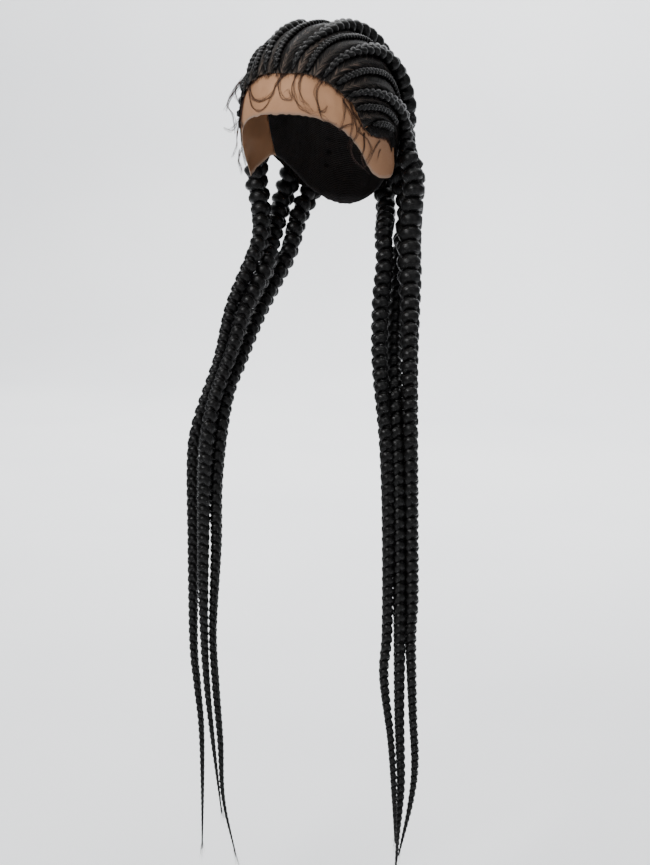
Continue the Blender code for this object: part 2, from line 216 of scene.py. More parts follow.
EAR_FUZZ_HAIRS = 700
EAR_FUZZ_BACK = (30.0, 135.0)
EAR_FUZZ_REACH = 1.4
FUZZ_LEAN = 0.6
FUZZ_ROOTS = 1.2
EAR_FUZZ_ROOTS = 1.5
FUZZ_RISE_SHARE = 0.6
LOOP_RISE = 0.0009
LOOP_HAIR_RADIUS = 0.00009
WISP_HAIR_RADIUS = 0.00018
TIP_SEED = 20
TIP_HAIRS = 16
TIP_LEAN = (1.0, 1.0, 0.3)
TIP_CURVE = 1.5
TIP_LENGTH = 0.030
TIP_LENGTH_SHARES = (0.35, 1.0)
TIP_SPREAD = 0.0035
TIP_SINK = 0.012
TIP_STEPS = 4
TIP_HEADING_STEPS = 6
STRAY_SEED = 40
JUMBO_STRAYS = 260
THIN_STRAYS = 30
STRAY_RISE = 0.0022
STRAY_LIFTS = (0.4, 1.0)
STRAY_RADIUS = 0.00006
STRAY_TURNS = (-0.35, 1.35)
STRAY_LENGTHS = (0.004, 0.011)
STRAY_ROOT = 0.36
STRAY_STEPS = 3

# Colours and finishes. A grain is the detail and the roughness of a noise.
HAIR_SHINE = 0.20
PULLED_SHINE = 0.07
HAIR_DARK = (0.0009, 0.0009, 0.0009, 1.0)
HAIR_LIGHT = (0.0044, 0.0040, 0.0039, 1.0)
THIN_LIGHT = (0.0052, 0.0047, 0.0045, 1.0)
HAIR_PULLED = (0.0065, 0.0056, 0.0052, 1.0)
PULLED_STROKE = (0.066, 0.053, 0.045, 1.0)
LOOP_DARK = (0.016, 0.007, 0.005, 1.0)
LOOP_LIGHT = (0.060, 0.027, 0.016, 1.0)
SCALP_TONE = (0.20, 0.140, 0.105, 1.0)
HAIR_STRETCH = 0.65
HAIR_STRETCH_TURN = 0.25
HAIR_IOR = 1.45
HAIR_BUMP = 0.8
FINE_GRAIN = (3.0, 0.6)
CLUMP_GRAIN = (1.0, 0.5)
STROKE_GRAIN = (2.0, 0.6)
STREAK_LENGTH_SHARE = 0.035
STREAK_ENDS = (0.38, 0.62)
DULL_STREAK = 0.16
BRIGHT_STREAK = 0.06
CLUMP_LENGTH_SHARE = 0.5
CLUMP_SCALE_SHARE = 0.45
STROKE_SCALE = 620.0
STROKE_FORCE = 5.0
STROKE_LENGTH_SHARE = 0.20
STROKE_ENDS = (0.45, 1.05)
BARE_ENDS = (1.05, 1.60)
BARE_MOST = 0.85
LACE_THREAD = (0.40, 0.215, 0.115, 1.0)
LACE_GROUND = (0.33, 0.172, 0.090, 1.0)
# Painted shade: the lace is darker towards the ears, where the frontal light falls less on it.
LACE_SIDE_SHADE = (0.185, 0.092, 0.046, 1.0)
LACE_SIDE_SHADE_REACH = (0.066, 0.084)
LACE_EDGE = (0.25, 0.175, 0.13, 1.0)
NET_THREAD = (0.020, 0.018, 0.018, 1.0)
NET_GROUND = (0.012, 0.011, 0.011, 1.0)
CELL_JITTER = 0.25
THREAD_REACH = (0.08, 0.2)
THREAD_DEPTH = 0.0002
THREAD_BUMP = 0.5
CLOTH_CLOUD = 35.0
CLOUD_ENDS = (0.3, 0.7)
CLOTH_ROUGHNESS = 0.6
CLOTH_SHINE = 0.2

# Hair finishes: dark and light tone, scale and depth of the streaks, and roughness.
HAIR_FINISHES = {
    "plait_hair": (HAIR_DARK, HAIR_LIGHT, 900.0, 0.0008, 0.30),
    "thin_plait_hair": (HAIR_DARK, THIN_LIGHT, 1600.0, 0.0004, 0.28),
    "loose_hair": (HAIR_DARK, HAIR_PULLED, 3000.0, 0.0001, 0.4),
    "loop_hair": (LOOP_DARK, LOOP_LIGHT, 3000.0, 0.0001, 0.4),
    "pulled_hair": (HAIR_DARK, HAIR_PULLED, 700.0, 0.0009, 0.46),
}

# Cloth finishes: tones of thread, ground, edge and painted shade at the sides, cover of the holes, and size
# of a cell.
CLOTH_FINISHES = {
    "front_lace": (LACE_THREAD, LACE_GROUND, LACE_EDGE, LACE_SIDE_SHADE, 0.86, 0.0011),
    "cap_net": (NET_THREAD, NET_GROUND, NET_THREAD, NET_GROUND, 0.9, 0.0016),
}

# Floor, light and camera. A lamp has a place, a target, a size and a power. The camera was fitted
# to the photograph, 650 by 865 pixels.
FLOOR_HEIGHT = -1.02
FLOOR_FRONT = -3.6
WALL_BACK = 3.8
WALL_TOP = 2.8
SWEEP_RADIUS = 0.7
SWEEP_STEPS = 16
SWEEP_HALF_WIDTH = 4.5
PAPER_LOW = (0.84, 0.85, 0.87, 1.0)
PAPER_HIGH = (0.90, 0.91, 0.92, 1.0)
PAPER_CLOUD = 1.5
PAPER_GRAIN = (2.0, 0.5)
PAPER_ROUGHNESS = 0.9
AIR_TONE = (0.93, 0.95, 1.0, 1.0)
AIR_STRENGTH = 0.42
LAMPS = {
    "key": ((-0.5, -2.0, 1.5), (0.0, 0.0, -0.3), (0.9, 0.9), 76.0),
    "fill": ((2.2, -1.4, 0.6), (0.0, 0.0, -0.4), (1.0, 1.4), 9.0),
    "top": ((0.3, -0.1, 1.7), (0.0, 0.0, -0.2), (0.9, 0.9), 16.0),
    "wall": ((-0.8, 1.6, 2.4), (-1.0, 3.8, -0.2), (4.0, 1.0), 290.0),
}
PHOTO_HEIGHT = 865.0
PHOTO_FOCAL = 1872.66
SENSOR_SIZE = 36.0
CAMERA_PLACE = (0.78039, -1.83849, -0.02333)
CAMERA_TURN = 22.86
CAMERA_TILT = -11.47

# Lower edge of the cap by turn: 0 at the forehead, 180 at the nape. Drop is below the crown, as a
# share of NAPE_DROP. The corner behind the ear is rounder than in the solid.
CAP_EDGE_COLUMNS = ("turn", "drop")
CAP_EDGE = [
    (0, 0.452),
    (15, 0.457),
    (30, 0.478),
    (45, 0.527),
    (58, 0.624),
    (68, 0.742),
    (78, 0.803),
    (85, 0.810),
    (91, 0.796),
    (98, 0.760),
    (105, 0.722),
    (114, 0.705),
    (126, 0.790),
    (140, 0.903),
    (160, 0.978),
    (180, 1.000),
]

# Rows on the head. Back is the angle over the head, from the brow at 0 to the crown at 90.
# Side is the angle from the middle towards the wearer's left ear. Lift is how far a heavy row
# stands off the cap where it starts to hang, as a share of JUMBO_WIDTH. The centre row is lifted at
# the crown here, with the hair on either side of it.
ROW_COLUMNS = ("back", "side", "lift")
JUMBO_ROWS = {
    1: [
        (41, 3.4, 0),
        (54, 5, 0),
        (66, 8.6, 0),
        (78, 10.6, 0),
        (92, 11.5, 0),
        (112, 14.5, 0),
        (140, 18, 0),
        (168, 19, 0),
        (192, 18, 0),
    ],
    2: [
        (43, 18, 0),
        (56, 21, 0),
        (68, 24.5, 0),
        (84, 28, 0),
        (100, 30.5, 0),
        (120, 35, 0.08),
        (150, 40, 0.08),
        (176, 41, 0.04),
        (198, 38.5, 0.02),
    ],
    3: [
        (38, 29.8, 0),
        (50, 37.8, 0),
        (62, 45, 0),
        (77, 51.4, 0),
        (98, 56.4, 0),
        (124, 57.5, 0.02),
        (150, 60, 0.08),
        (172, 66, 0.22),
        (188, 72, 0.36),
    ],
}
CENTRE_THIN_ROW = [
    (43, -4.5, 0),
    (57, -5.0, 0),
    (72, -3.2, 0.06),
    (86, -0.6, 0.12),
    (110, 0, 0.12),
    (150, 0, 0.04),
    (184, 0, 0),
]
THIN_ROWS = {
    1: [
        (44, 10.3, 0),
        (58, 12.2, 0),
        (70, 15, 0),
        (82, 18.2, 0),
        (98, 20.6, 0),
        (118, 24.6, 0),
        (138, 29, 0),
    ],
    2: [
        (44.5, 25.2, 0),
        (54.5, 29.5, 0),
        (66, 34, 0),
        (81, 38.8, 0),
        (100, 42.4, 0),
        (120, 45.6, 0),
        (138, 49.4, 0),
    ],
    3: [
        (36.5, 38.4, 0),
        (44, 44.2, 0),
        (56, 51.9, 0),
        (75, 60, 0),
        (98, 65.8, 0),
        (112, 67, 0),
    ],
    4: [
        (39, 56.4, 0),
        (54, 63.6, 0),
        (74, 70.2, 0),
        (85, 72.0, 0),
    ],
}

# How a jumbo row grows: run is a share of JUMBO_GROW_LENGTH, width of JUMBO_WIDTH and
# thickness of the width at that place.
GROWTH_COLUMNS = ("run", "width", "thickness")
JUMBO_GROWTH = [
    (0.00, 0.24, 0.70),
    (0.18, 0.38, 0.74),
    (0.36, 0.54, 0.76),
    (0.55, 0.70, 0.78),
    (0.75, 0.86, 0.84),
    (1.00, 1.00, 0.94),
]

# Hanging braids. Drop, side and back are shares of HANG_DROP, HANG_SIDE and HANG_FORWARD, width
# is a share of JUMBO_WIDTH, and face is the turn that the front of the plait looks towards. Below
# the cap these widths are up to 6 mm more than those of the solids, as the photograph shows the
# braids, and their outlines are scalloped inside them.
HANGING_COLUMNS = ("drop", "side", "back", "width", "face")
HANGING_BRAIDS = {
    "left_1": [
        (0.208, 0.39, 1.12, 0.90, 118),
        (0.234, 0.50, 0.42, 0.82, 118),
        (0.264, 0.565, 0.13, 0.84, 112),
        (0.310, 0.602, -0.25, 0.82, 112),
        (0.376, 0.680, -0.70, 0.74, 112),
        (0.460, 0.787, -0.97, 0.64, 112),
        (0.553, 0.825, -1.03, 0.60, 112),
        (0.685, 0.822, -1.03, 0.51, 112),
        (0.742, 0.795, -1.03, 0.45, 112),
        (0.820, 0.862, -1.03, 0.34, 112),
        (0.883, 0.899, -1.05, 0.29, 112),
        (0.945, 0.921, -1.10, 0.08, 112),
    ],
    "left_2": [
        (0.206, 0.60, 1.06, 0.95, 118),
        (0.254, 0.585, 0.83, 0.85, 112),
        (0.298, 0.642, 0.37, 0.78, 112),
        (0.358, 0.701, -0.13, 0.75, 112),
        (0.428, 0.818, -0.68, 0.73, 112),
        (0.507, 0.880, -0.87, 0.68, 112),
        (0.650, 0.908, -0.90, 0.60, 112),
        (0.787, 0.915, -0.90, 0.49, 112),
        (0.876, 0.934, -0.90, 0.40, 112),
        (0.942, 0.910, -0.90, 0.21, 112),
        (1.000, 0.886, -0.90, 0.06, 112),
    ],
    "left_3": [
        (0.170, 0.756, 0.50, 1.05, 118),
        (0.200, 0.736, 0.52, 1.10, 118),
        (0.232, 0.726, 0.48, 1.12, 118),
        (0.272, 0.762, 0.28, 1.12, 112),
        (0.310, 0.812, 0.03, 0.95, 112),
        (0.376, 0.900, -0.46, 0.80, 112),
        (0.456, 0.962, -0.73, 0.72, 112),
        (0.585, 0.990, -0.78, 0.67, 112),
        (0.650, 0.998, -0.78, 0.63, 112),
        (0.699, 0.991, -0.78, 0.52, 112),
        (0.788, 1.016, -0.78, 0.41, 112),
        (0.850, 1.040, -0.78, 0.37, 112),
        (0.900, 1.006, -0.78, 0.28, 112),
        (0.970, 0.898, -0.78, 0.08, 112),
    ],
    "right_1": [
        (0.216, 0.420, 1.12, 0.90, 80),
        (0.262, 0.490, 0.93, 0.86, 66),
        (0.299, 0.548, 0.48, 0.80, 66),
        (0.336, 0.592, -0.03, 0.73, 66),
        (0.384, 0.650, -0.50, 0.67, 66),
        (0.430, 0.716, -0.84, 0.70, 66),
        (0.520, 0.770, -1.03, 0.65, 66),
        (0.606, 0.772, -1.07, 0.54, 66),
        (0.712, 0.814, -1.07, 0.39, 66),
        (0.779, 0.794, -1.07, 0.39, 66),
        (0.852, 0.754, -1.07, 0.32, 66),
        (0.927, 0.730, -1.07, 0.19, 66),
        (1.000, 0.610, -1.07, 0.06, 66),
    ],
    "right_2": [
        (0.206, 0.60, 1.10, 0.95, 80),
        (0.248, 0.600, 0.64, 0.88, 66),
        (0.280, 0.552, 0.14, 0.86, 66),
        (0.322, 0.622, -0.35, 0.72, 66),
        (0.370, 0.668, -0.76, 0.64, 66),
        (0.436, 0.778, -1.12, 0.66, 66),
        (0.500, 0.824, -1.25, 0.64, 66),
        (0.624, 0.856, -1.25, 0.55, 66),
        (0.713, 0.870, -1.20, 0.41, 66),
        (0.780, 0.868, -1.12, 0.34, 66),
        (0.853, 0.820, -1.10, 0.23, 66),
        (0.945, 0.741, -1.10, 0.06, 66),
    ],
    "right_3": [
        (0.170, 0.715, 0.50, 1.00, 100),
        (0.205, 0.660, 0.44, 0.93, 80),
        (0.239, 0.600, 0.19, 0.84, 80),
        (0.266, 0.625, -0.06, 0.76, 66),
        (0.322, 0.762, -0.33, 0.67, 66),
        (0.385, 0.815, -0.67, 0.62, 66),
        (0.458, 0.964, -0.90, 0.64, 66),
        (0.507, 1.010, -0.97, 0.61, 66),
        (0.610, 1.012, -1.00, 0.57, 66),
        (0.730, 1.023, -1.00, 0.43, 66),
        (0.785, 0.993, -1.00, 0.38, 66),
        (0.840, 0.958, -1.00, 0.30, 66),
        (0.914, 0.954, -1.00, 0.19, 66),
        (1.000, 0.965, -1.00, 0.06, 66),
    ],
}

# Where the hair begins, from the middle of the forehead to above the ear, in the angles of the rows.
HAIRLINE_COLUMNS = ("side", "back")
HAIRLINE = [
    (0, 41.0),
    (12, 42.6),
    (23, 42.0),
    (30, 40.3),
    (36.5, 39.0),
    (41.5, 34.0),
    (49, 28.5),
    (57, 25.5),
    (66, 31.0),
    (73, 43.0),
    (78, 62.0),
]

# Where the hair ends above and behind the ear.
EAR_SIDE_COLUMNS = ("back", "side")
EAR_SIDE = [
    (20, 55),
    (31, 66),
    (43, 73),
    (66, 78),
    (90, 81),
    (108, 84),
    (125, 86),
    (142, 85),
    (158, 80),
    (175, 72),
    (200, 66),
]

# Loose hairs laid in loops on the lace, each from its root to its tip in the angles of the rows.
# Those on the forehead lie as they are, and those at the temple lie on both sides.
FOREHEAD_LOOPS = [
    [(41.5, 0.7), (36.2, -3.0), (32.2, -4.7), (29.4, -8.7), (29.6, -13.8), (33.8, -20.1), (39.3, -25.0)],
    [(44.0, -21.4), (40.3, -22.1), (32.1, -17.8), (29.4, -14.6), (30.1, -9.5), (31.3, -7.9)],
    [(43.5, -26.0), (38.7, -24.0), (28.2, -19.5), (24.6, -13.3), (25.9, -8.5), (29.7, -6.0), (34.9, -3.5)],
    [(41.5, -1.9), (34.1, -1.5), (29.5, 1.7), (29.0, 5.3), (31.2, 5.6), (32.9, 2.6), (32.1, 1.3)],
    [(42.0, 6.1), (34.5, 5.9), (29.4, 8.0), (25.9, 11.2), (24.3, 15.6), (24.4, 19.2)],
    [(42.0, 9.0), (35.5, 8.6), (30.5, 10.7), (27.1, 13.9), (25.5, 17.0)],
    [(43.0, 17.5), (35.0, 16.6), (27.1, 19.5), (22.8, 23.2), (20.9, 28.3), (22.9, 31.4)],
    [(25.7, 19.7), (27.4, 22.5), (30.4, 24.2)],
]
TEMPLE_LOOPS = [
    [(39.5, 30.3), (35.0, 33.1), (26.9, 34.2), (18.8, 33.1)],
    [(38.5, 35.3), (31.1, 41.5), (20.4, 46.4), (9.5, 43.4), (-1.9, 45.4), (-17.3, 54.5), (-34.7, 60.8)],
    [(18.8, 33.1), (23.2, 37.0), (26.6, 42.6)],
    [(27.0, 46.5), (22.7, 47.8), (17.7, 56.3), (6.2, 62.9), (-11.2, 57.5), (-19.0, 54.5)],
    [(30.9, 71.0), (10.0, 67.7), (-9.0, 62.2), (-18.2, 55.9)],
    [(12.0, 74.0), (-8.0, 71.5), (-30.0, 70.5), (-45.0, 73.0)],
    [(25.0, 52.0), (8.7, 54.7), (-4.5, 53.1), (-16.3, 56.0)],
    [(38.5, 31.9), (33.4, 37.3), (25.3, 41.2), (14.5, 40.9), (4.4, 41.0)],
]

# Wisps that stand off the right temple, each from its root to its tip in metres.
FAR_WISPS = [
    [(-0.072, -0.036, -0.049), (-0.078, -0.040, -0.058), (-0.079, -0.042, -0.067), (-0.070, -0.041, -0.080)],
    [(-0.072, -0.036, -0.052), (-0.085, -0.046, -0.075), (-0.079, -0.047, -0.088), (-0.074, -0.049, -0.106)],
    [(-0.072, -0.036, -0.050), (-0.080, -0.041, -0.060), (-0.085, -0.045, -0.070), (-0.0875, -0.049, -0.084)],
    [(-0.070, -0.045, -0.088), (-0.074, -0.046, -0.093), (-0.079, -0.050, -0.103), (-0.086, -0.053, -0.101)],
    [(-0.070, -0.043, -0.084), (-0.074, -0.049, -0.106), (-0.074, -0.052, -0.120), (-0.076, -0.055, -0.130)],
    [(-0.069, -0.051, -0.122), (-0.070, -0.053, -0.134), (-0.069, -0.054, -0.141), (-0.066, -0.054, -0.147)],
]


def between(table, at, column):
    """The value in this column at a place in the table's first column, on straight lines."""
    rows = sorted(table)
    if at <= rows[0][0]:
        return rows[0][column]
    for low, high in zip(rows, rows[1:]):
        if at <= high[0]:
            share = (at - low[0]) / (high[0] - low[0])
            return low[column] + share * (high[column] - low[column])
    return rows[-1][column]


def ease(value):
    """Goes smoothly from 0 to 1 as the value does, and stays there outside."""
    held = min(1.0, max(0.0, value))
    return held * held * (3.0 - 2.0 * held)


def radii_at(back, up):
    """The half sizes of the head form on the side of its centre that a point lies."""
    depth = HEAD_BACK_DEPTH if back > 0 else HEAD_FRONT_DEPTH
    height = CROWN_RISE if up > 0 else NAPE_FALL
    return HEAD_HALF_WIDTH, depth, height


def fullness_at(share_up):
    """How far the form swells over a plain egg shape, at this share of its height."""
    held = max(0.0, share_up) ** 2
    return 1.0 + FORM_FULLNESS * 4.0 * held * (1.0 - held)


def made_fuller(point):
    """Moves a point of the plain egg shape out onto the fuller head form."""
    centre = Vector((0, 0, -CROWN_RISE))
    return centre + (point - centre) * fullness_at((point.z + CROWN_RISE) / CROWN_RISE)


def form_value(point):
    """Zero on the head form, and above zero outside it."""
    up = point.z + CROWN_RISE
    wide, deep, high = radii_at(point.y, up)
    reach = math.sqrt((point.x / wide) ** 2 + (point.y / deep) ** 2 + (up / high) ** 2)
    return reach - fullness_at(up / high / reach)


def head_normal(point):
    slopes = []
    for axis in range(3):
        nudge = Vector((0, 0, 0))
        nudge[axis] = NORMAL_NUDGE
        slopes.append(form_value(point + nudge) - form_value(point - nudge))
    return Vector(slopes).normalized()


def head_point(back, side):
    """Where a line from the middle of the ear line, at these two angles, meets the head form."""
    back_turn = math.radians(back)
    side_turn = math.radians(side)
    heading = Vector((
        math.sin(side_turn),
        -math.cos(side_turn) * math.cos(back_turn),
        math.cos(side_turn) * math.sin(back_turn),
    ))
    start = CROWN_RISE - EAR_LINE_DROP
    for upper in (1, -1):
        wide, deep, high = radii_at(heading.y, upper)
        square = (heading.x / wide) ** 2 + (heading.y / deep) ** 2 + (heading.z / high) ** 2
        cross = heading.z * start / high**2
        rest = (start / high) ** 2 - 1.0
        reach = (-cross + math.sqrt(cross**2 - square * rest)) / square
        found = heading * reach + Vector((0, 0, -EAR_LINE_DROP))
        if (found.z + CROWN_RISE) * upper >= 0:
            break
    return made_fuller(found)


def ear_swell(turn, height):
    """How far the cap stands off the head form to clear the ear, at this turn and height."""
    near = math.exp(-((folded_turn(turn) - EAR_TURN) / EAR_TURN_SPREAD) ** 2)
    return EAR_BULGE * near * ease((-height - EAR_BULGE_TOP) / EAR_BULGE_FADE)


def turn_of(point):
    """The turn of a point round the head: 0 at the forehead, 90 at the left ear, 180 at the nape."""
    return math.degrees(math.atan2(point.x, -point.y))


def above_head(back, side, height):
    """A point this high over the cap's inside, at these two angles."""
    point = head_point(back, side)
    lift = CROWN_LIFT * math.exp(-(side / CROWN_LIFT_SIDE) ** 2)
    lift *= ease((back - CROWN_LIFT_START) / CROWN_LIFT_FADE)
    return point + head_normal(point) * (height + ear_swell(turn_of(point), point.z) + lift)


def smooth_path(points, steps):
    """A curve through all the points, with the points between two of them evenly spaced."""
    before = points[0] * 2 - points[1]
    after = points[-1] * 2 - points[-2]
    held = [before] + list(points) + [after]
    curve = []
    for index in range(1, len(held) - 2):
        one, two, three, four = held[index - 1:index + 3]
        for step in range(steps):
            at = step / steps
            curve.append(0.5 * (
                two * 2
                + (three - one) * at
                + (one * 2 - two * 5 + three * 4 - four) * at**2
                + (two * 3 - one - three * 3 + four) * at**3
            ))
    curve.append(points[-1].copy())
    return curve


def runs_of(curve):
    """The distance along the curve of each of its points."""
    runs = [0.0]
    for one, two in zip(curve, curve[1:]):
        runs.append(runs[-1] + (two - one).length)
    return runs


def folded_turn(turn):
    """The same turn counted from the forehead on either side, 0 to 180."""
    return abs((turn + 180.0) % 360.0 - 180.0)


def edge_drop(turn):
    """How far the cap's lower edge lies below the crown, with the table's corners rounded off."""
    column = CAP_EDGE_COLUMNS.index("drop")
    drops = [between(CAP_EDGE, folded_turn(turn + offset), column) for offset in EDGE_ROUNDING]
    return NAPE_DROP * sum(drops) / len(drops)


def cap_point(turn, share):
    """A point inside the cap: turn goes round the head, share from the crown to the edge."""
    low = edge_drop(turn) - CROWN_RISE
    if low > 0:
        edge_fall = math.pi / 2 + math.asin(min(1.0, low / NAPE_FALL))
    else:
        edge_fall = math.acos(-low / CROWN_RISE)
    fall = edge_fall * share
    height = (CROWN_RISE if fall < math.pi / 2 else NAPE_FALL) * math.cos(fall)
    turned = math.radians(turn)
    depth = HEAD_FRONT_DEPTH if math.cos(turned) > 0 else HEAD_BACK_DEPTH
    point = made_fuller(Vector((
        HEAD_HALF_WIDTH * math.sin(fall) * math.sin(turned),
        -depth * math.sin(fall) * math.cos(turned),
        height - CROWN_RISE,
    )))
    return point + head_normal(point) * ear_swell(turn, point.z)


def fill(tree, node, inputs):
    """Gives a node's inputs these values, or links them to what other nodes give."""
    for label, value in inputs.items():
        if isinstance(value, bpy.types.NodeSocket):
            tree.links.new(value, node.inputs[label])
        else:
            node.inputs[label].default_value = value


def add_node(tree, kind, inputs=None, **settings):
    made = tree.nodes.new(kind)
    for name, value in settings.items():
        setattr(made, name, value)
    fill(tree, made, inputs or {})
    return made


def result(tree, kind, label, inputs=None, **settings):
    """What a new node gives at the output of this name."""
    return add_node(tree, kind, inputs, **settings).outputs[label]


def maths(tree, operation, *values):
    return result(tree, "ShaderNodeMath", "Value", dict(enumerate(values)), operation=operation)


def product(tree, first, *others):
    for value in others:
        first = maths(tree, "MULTIPLY", first, value)
    return first


def vector_maths(tree, operation, *vectors):
    return result(tree, "ShaderNodeVectorMath", "Vector", dict(enumerate(vectors)), operation=operation)


def scaled(tree, vector, amount):
    inputs = {"Vector": vector, "Scale": amount}
    return result(tree, "ShaderNodeVectorMath", "Vector", inputs, operation="SCALE")


def new_tree(name, sizes):
    """An empty node tree with these named inputs, each (label, kind, usual value)."""
    tree = bpy.data.node_groups.new(name, "GeometryNodeTree")
    tree.interface.new_socket("Geometry", in_out="INPUT", socket_type="NodeSocketGeometry")
    for label, kind, usual in sizes:
        socket = tree.interface.new_socket(label, in_out="INPUT", socket_type=kind)
        if usual is not None:
            socket.default_value = usual
    tree.interface.new_socket("Geometry", in_out="OUTPUT", socket_type="NodeSocketGeometry")
    given = tree.nodes.new("NodeGroupInput").outputs
    return tree, given


def end_tree(tree, geometry, material):
    """Realizes what the tree made and gives it its material."""
    realized = result(tree, "GeometryNodeRealizeInstances", "Geometry", {"Geometry": geometry})
    painted = {"Geometry": realized, "Material": material}
    painted = result(tree, "GeometryNodeSetMaterial", "Geometry", painted)
    add_node(tree, "NodeGroupOutput", {"Geometry": painted})


def read_fact(tree, label, kind="FLOAT"):
    """A number or heading that the guide's points carry under this name."""
    return result(tree, "GeometryNodeInputNamedAttribute", "Attribute", {"Name": label}, data_type=kind)


def keep_fact(tree, geometry, label, value, kind="FLOAT"):
    """Stores a value on each point under this name and returns the geometry."""
    kept = {"Geometry": geometry, "Name": label, "Value": value}
    return result(tree, "GeometryNodeStoreNamedAttribute", "Geometry", kept, data_type=kind, domain="POINT")


def tubes(tree, curves, thickness, sides):
    """Round tubes of this radius along the curves, with the facts that the hair finish reads."""
    tangent = result(tree, "GeometryNodeInputTangent", "Tangent")
    run = result(tree, "GeometryNodeSplineParameter", "Length")
    curves = keep_fact(tree, curves, "strand_way", tangent, "FLOAT_VECTOR")
    curves = keep_fact(tree, curves, "strand_run", run)
    curves = keep_fact(tree, curves, "strand_radius", thickness)
    circle = result(tree, "GeometryNodeCurvePrimitiveCircle", "Curve", {"Radius": 1.0, "Resolution": sides})
    spot = result(tree, "GeometryNodeInputPosition", "Position")
    profile = keep_fact(tree, circle, "round_spot", spot, "FLOAT_VECTOR")
    radius = read_fact(tree, "strand_radius")
    swept = {"Curve": curves, "Profile Curve": profile, "Scale": radius, "Fill Caps": True}
    mesh = result(tree, "GeometryNodeCurveToMesh", "Mesh", swept)
    around = scaled(tree, read_fact(tree, "round_spot", "FLOAT_VECTOR"), radius)
    along = result(tree, "ShaderNodeCombineXYZ", "Vector", {"Z": read_fact(tree, "strand_run")})
    mesh = keep_fact(tree, mesh, "fibre", vector_maths(tree, "ADD", around, along), "FLOAT_VECTOR")
    return result(tree, "GeometryNodeSetShadeSmooth", "Geometry", {"Geometry": mesh})


def copied_curves(tree, geometry, amount):
    """Turns guide lines into curves and repeats each of them. Returns the copy's number too."""
    curves = result(tree, "GeometryNodeMeshToCurve", "Curve", {"Mesh": geometry})
    copied = {"Geometry": curves, "Amount": amount}
    copies = add_node(tree, "GeometryNodeDuplicateElements", copied, domain="SPLINE")
    return copies.outputs["Geometry"], copies.outputs["Duplicate Index"]


def moved(tree, geometry, offset):
    return result(tree, "GeometryNodeSetPosition", "Geometry", {"Geometry": geometry, "Offset": offset})


def plait_tree():
    """Three strands that cross each other along a guide line, one third of a turn apart."""
    tree, given = new_tree("plait strands", [
        ("Strands", "NodeSocketInt", STRANDS),
        ("Side Reach", "NodeSocketFloat", PLAIT_SIDE_REACH),
        ("Crossing", "NodeSocketFloat", PLAIT_CROSSING),
        ("Strand Radius", "NodeSocketFloat", PLAIT_STRAND_RADIUS),
        ("Edge Swell", "NodeSocketFloat", PLAIT_EDGE_SWELL),
        ("Sides", "NodeSocketInt", JUMBO_SIDES),
        ("Hair", "NodeSocketMaterial", None),
    ])
    curves, number = copied_curves(tree, given["Geometry"], given["Strands"])
    turn_share = maths(tree, "DIVIDE", number, given["Strands"])
    turn = maths(tree, "MULTIPLY_ADD", turn_share, 2.0 * math.pi, read_fact(tree, "phase"))
    double = maths(tree, "MULTIPLY", turn, 2.0)
    double_sine = maths(tree, "SINE", double)
    width = read_fact(tree, "width")
    side_way = product(tree, maths(tree, "SINE", turn), given["Side Reach"], width)
    crossed = maths(tree, "TANH", maths(tree, "MULTIPLY", double_sine, given["Crossing"]))
    crossed = maths(tree, "DIVIDE", crossed, maths(tree, "TANH", given["Crossing"]))
    half_depth = maths(tree, "MULTIPLY", read_fact(tree, "thickness"), 0.5)
    half_depth = maths(tree, "SUBTRACT", half_depth, given["Strand Radius"])
    depth_way = product(tree, crossed, half_depth, width)
    slid = maths(tree, "MULTIPLY", double_sine, read_fact(tree, "slide"))
    slid = maths(tree, "ADD", slid, product(tree, crossed, crossed, read_fact(tree, "arch")))
    offset = scaled(tree, read_fact(tree, "across", "FLOAT_VECTOR"), side_way)
    for label, amount in (("front", depth_way), ("ahead", slid)):
        part_way = scaled(tree, read_fact(tree, label, "FLOAT_VECTOR"), amount)
        offset = vector_maths(tree, "ADD", offset, part_way)
    swell = maths(tree, "MULTIPLY", maths(tree, "COSINE", double), given["Edge Swell"])
    swell = maths(tree, "SUBTRACT", 1.0, swell)
    radius = product(tree, width, given["Strand Radius"], swell)
    curves = keep_fact(tree, curves, "plait_radius", radius)
    curves = moved(tree, curves, offset)
    strands = tubes(tree, curves, read_fact(tree, "plait_radius"), given["Sides"])
    end_tree(tree, strands, given["Hair"])
    return tree


def hair_tree():
    """Fine hairs along guide lines, several to a line, that part from it towards their tips."""
    tree, given = new_tree("fine hairs", [
        ("Hairs Each", "NodeSocketInt", 1),
        ("Spread", "NodeSocketFloat", None),
        ("Root Spread", "NodeSocketFloat", None),
        ("Seed", "NodeSocketInt", 1),
        ("Sides", "NodeSocketInt", HAIR_SIDES),
        ("Hair", "NodeSocketMaterial", None),
    ])
    curves, _ = copied_curves(tree, given["Geometry"], given["Hairs Each"])
    number = result(tree, "GeometryNodeCurveOfPoint", "Curve Index")
    reach = {"Min": (-1.0, -1.0, -1.0), "ID": number, "Seed": given["Seed"]}
    thrown = result(tree, "FunctionNodeRandomValue", "Value", reach, data_type="FLOAT_VECTOR")
    along = result(tree, "GeometryNodeSplineParameter", "Factor")
    opening = result(tree, "ShaderNodeMapRange", "Result", {"Value": along, "To Min": given["Root Spread"]})
    thrown = scaled(tree, thrown, maths(tree, "MULTIPLY", opening, given["Spread"]))
    curves = moved(tree, curves, thrown)
    hairs = tubes(tree, curves, read_fact(tree, "hair_radius"), given["Sides"])
    end_tree(tree, hairs, given["Hair"])
    return tree


def link(made):
    bpy.context.scene.collection.objects.link(made)
    return made


def smooth_object(name, mesh, material):
    mesh.shade_smooth()
    mesh.materials.append(material)
    return link(bpy.data.objects.new(name, mesh))


def finished_mesh(name, shape):
    mesh = bpy.data.meshes.new(name)
    shape.to_mesh(mesh)
    shape.free()
    return mesh


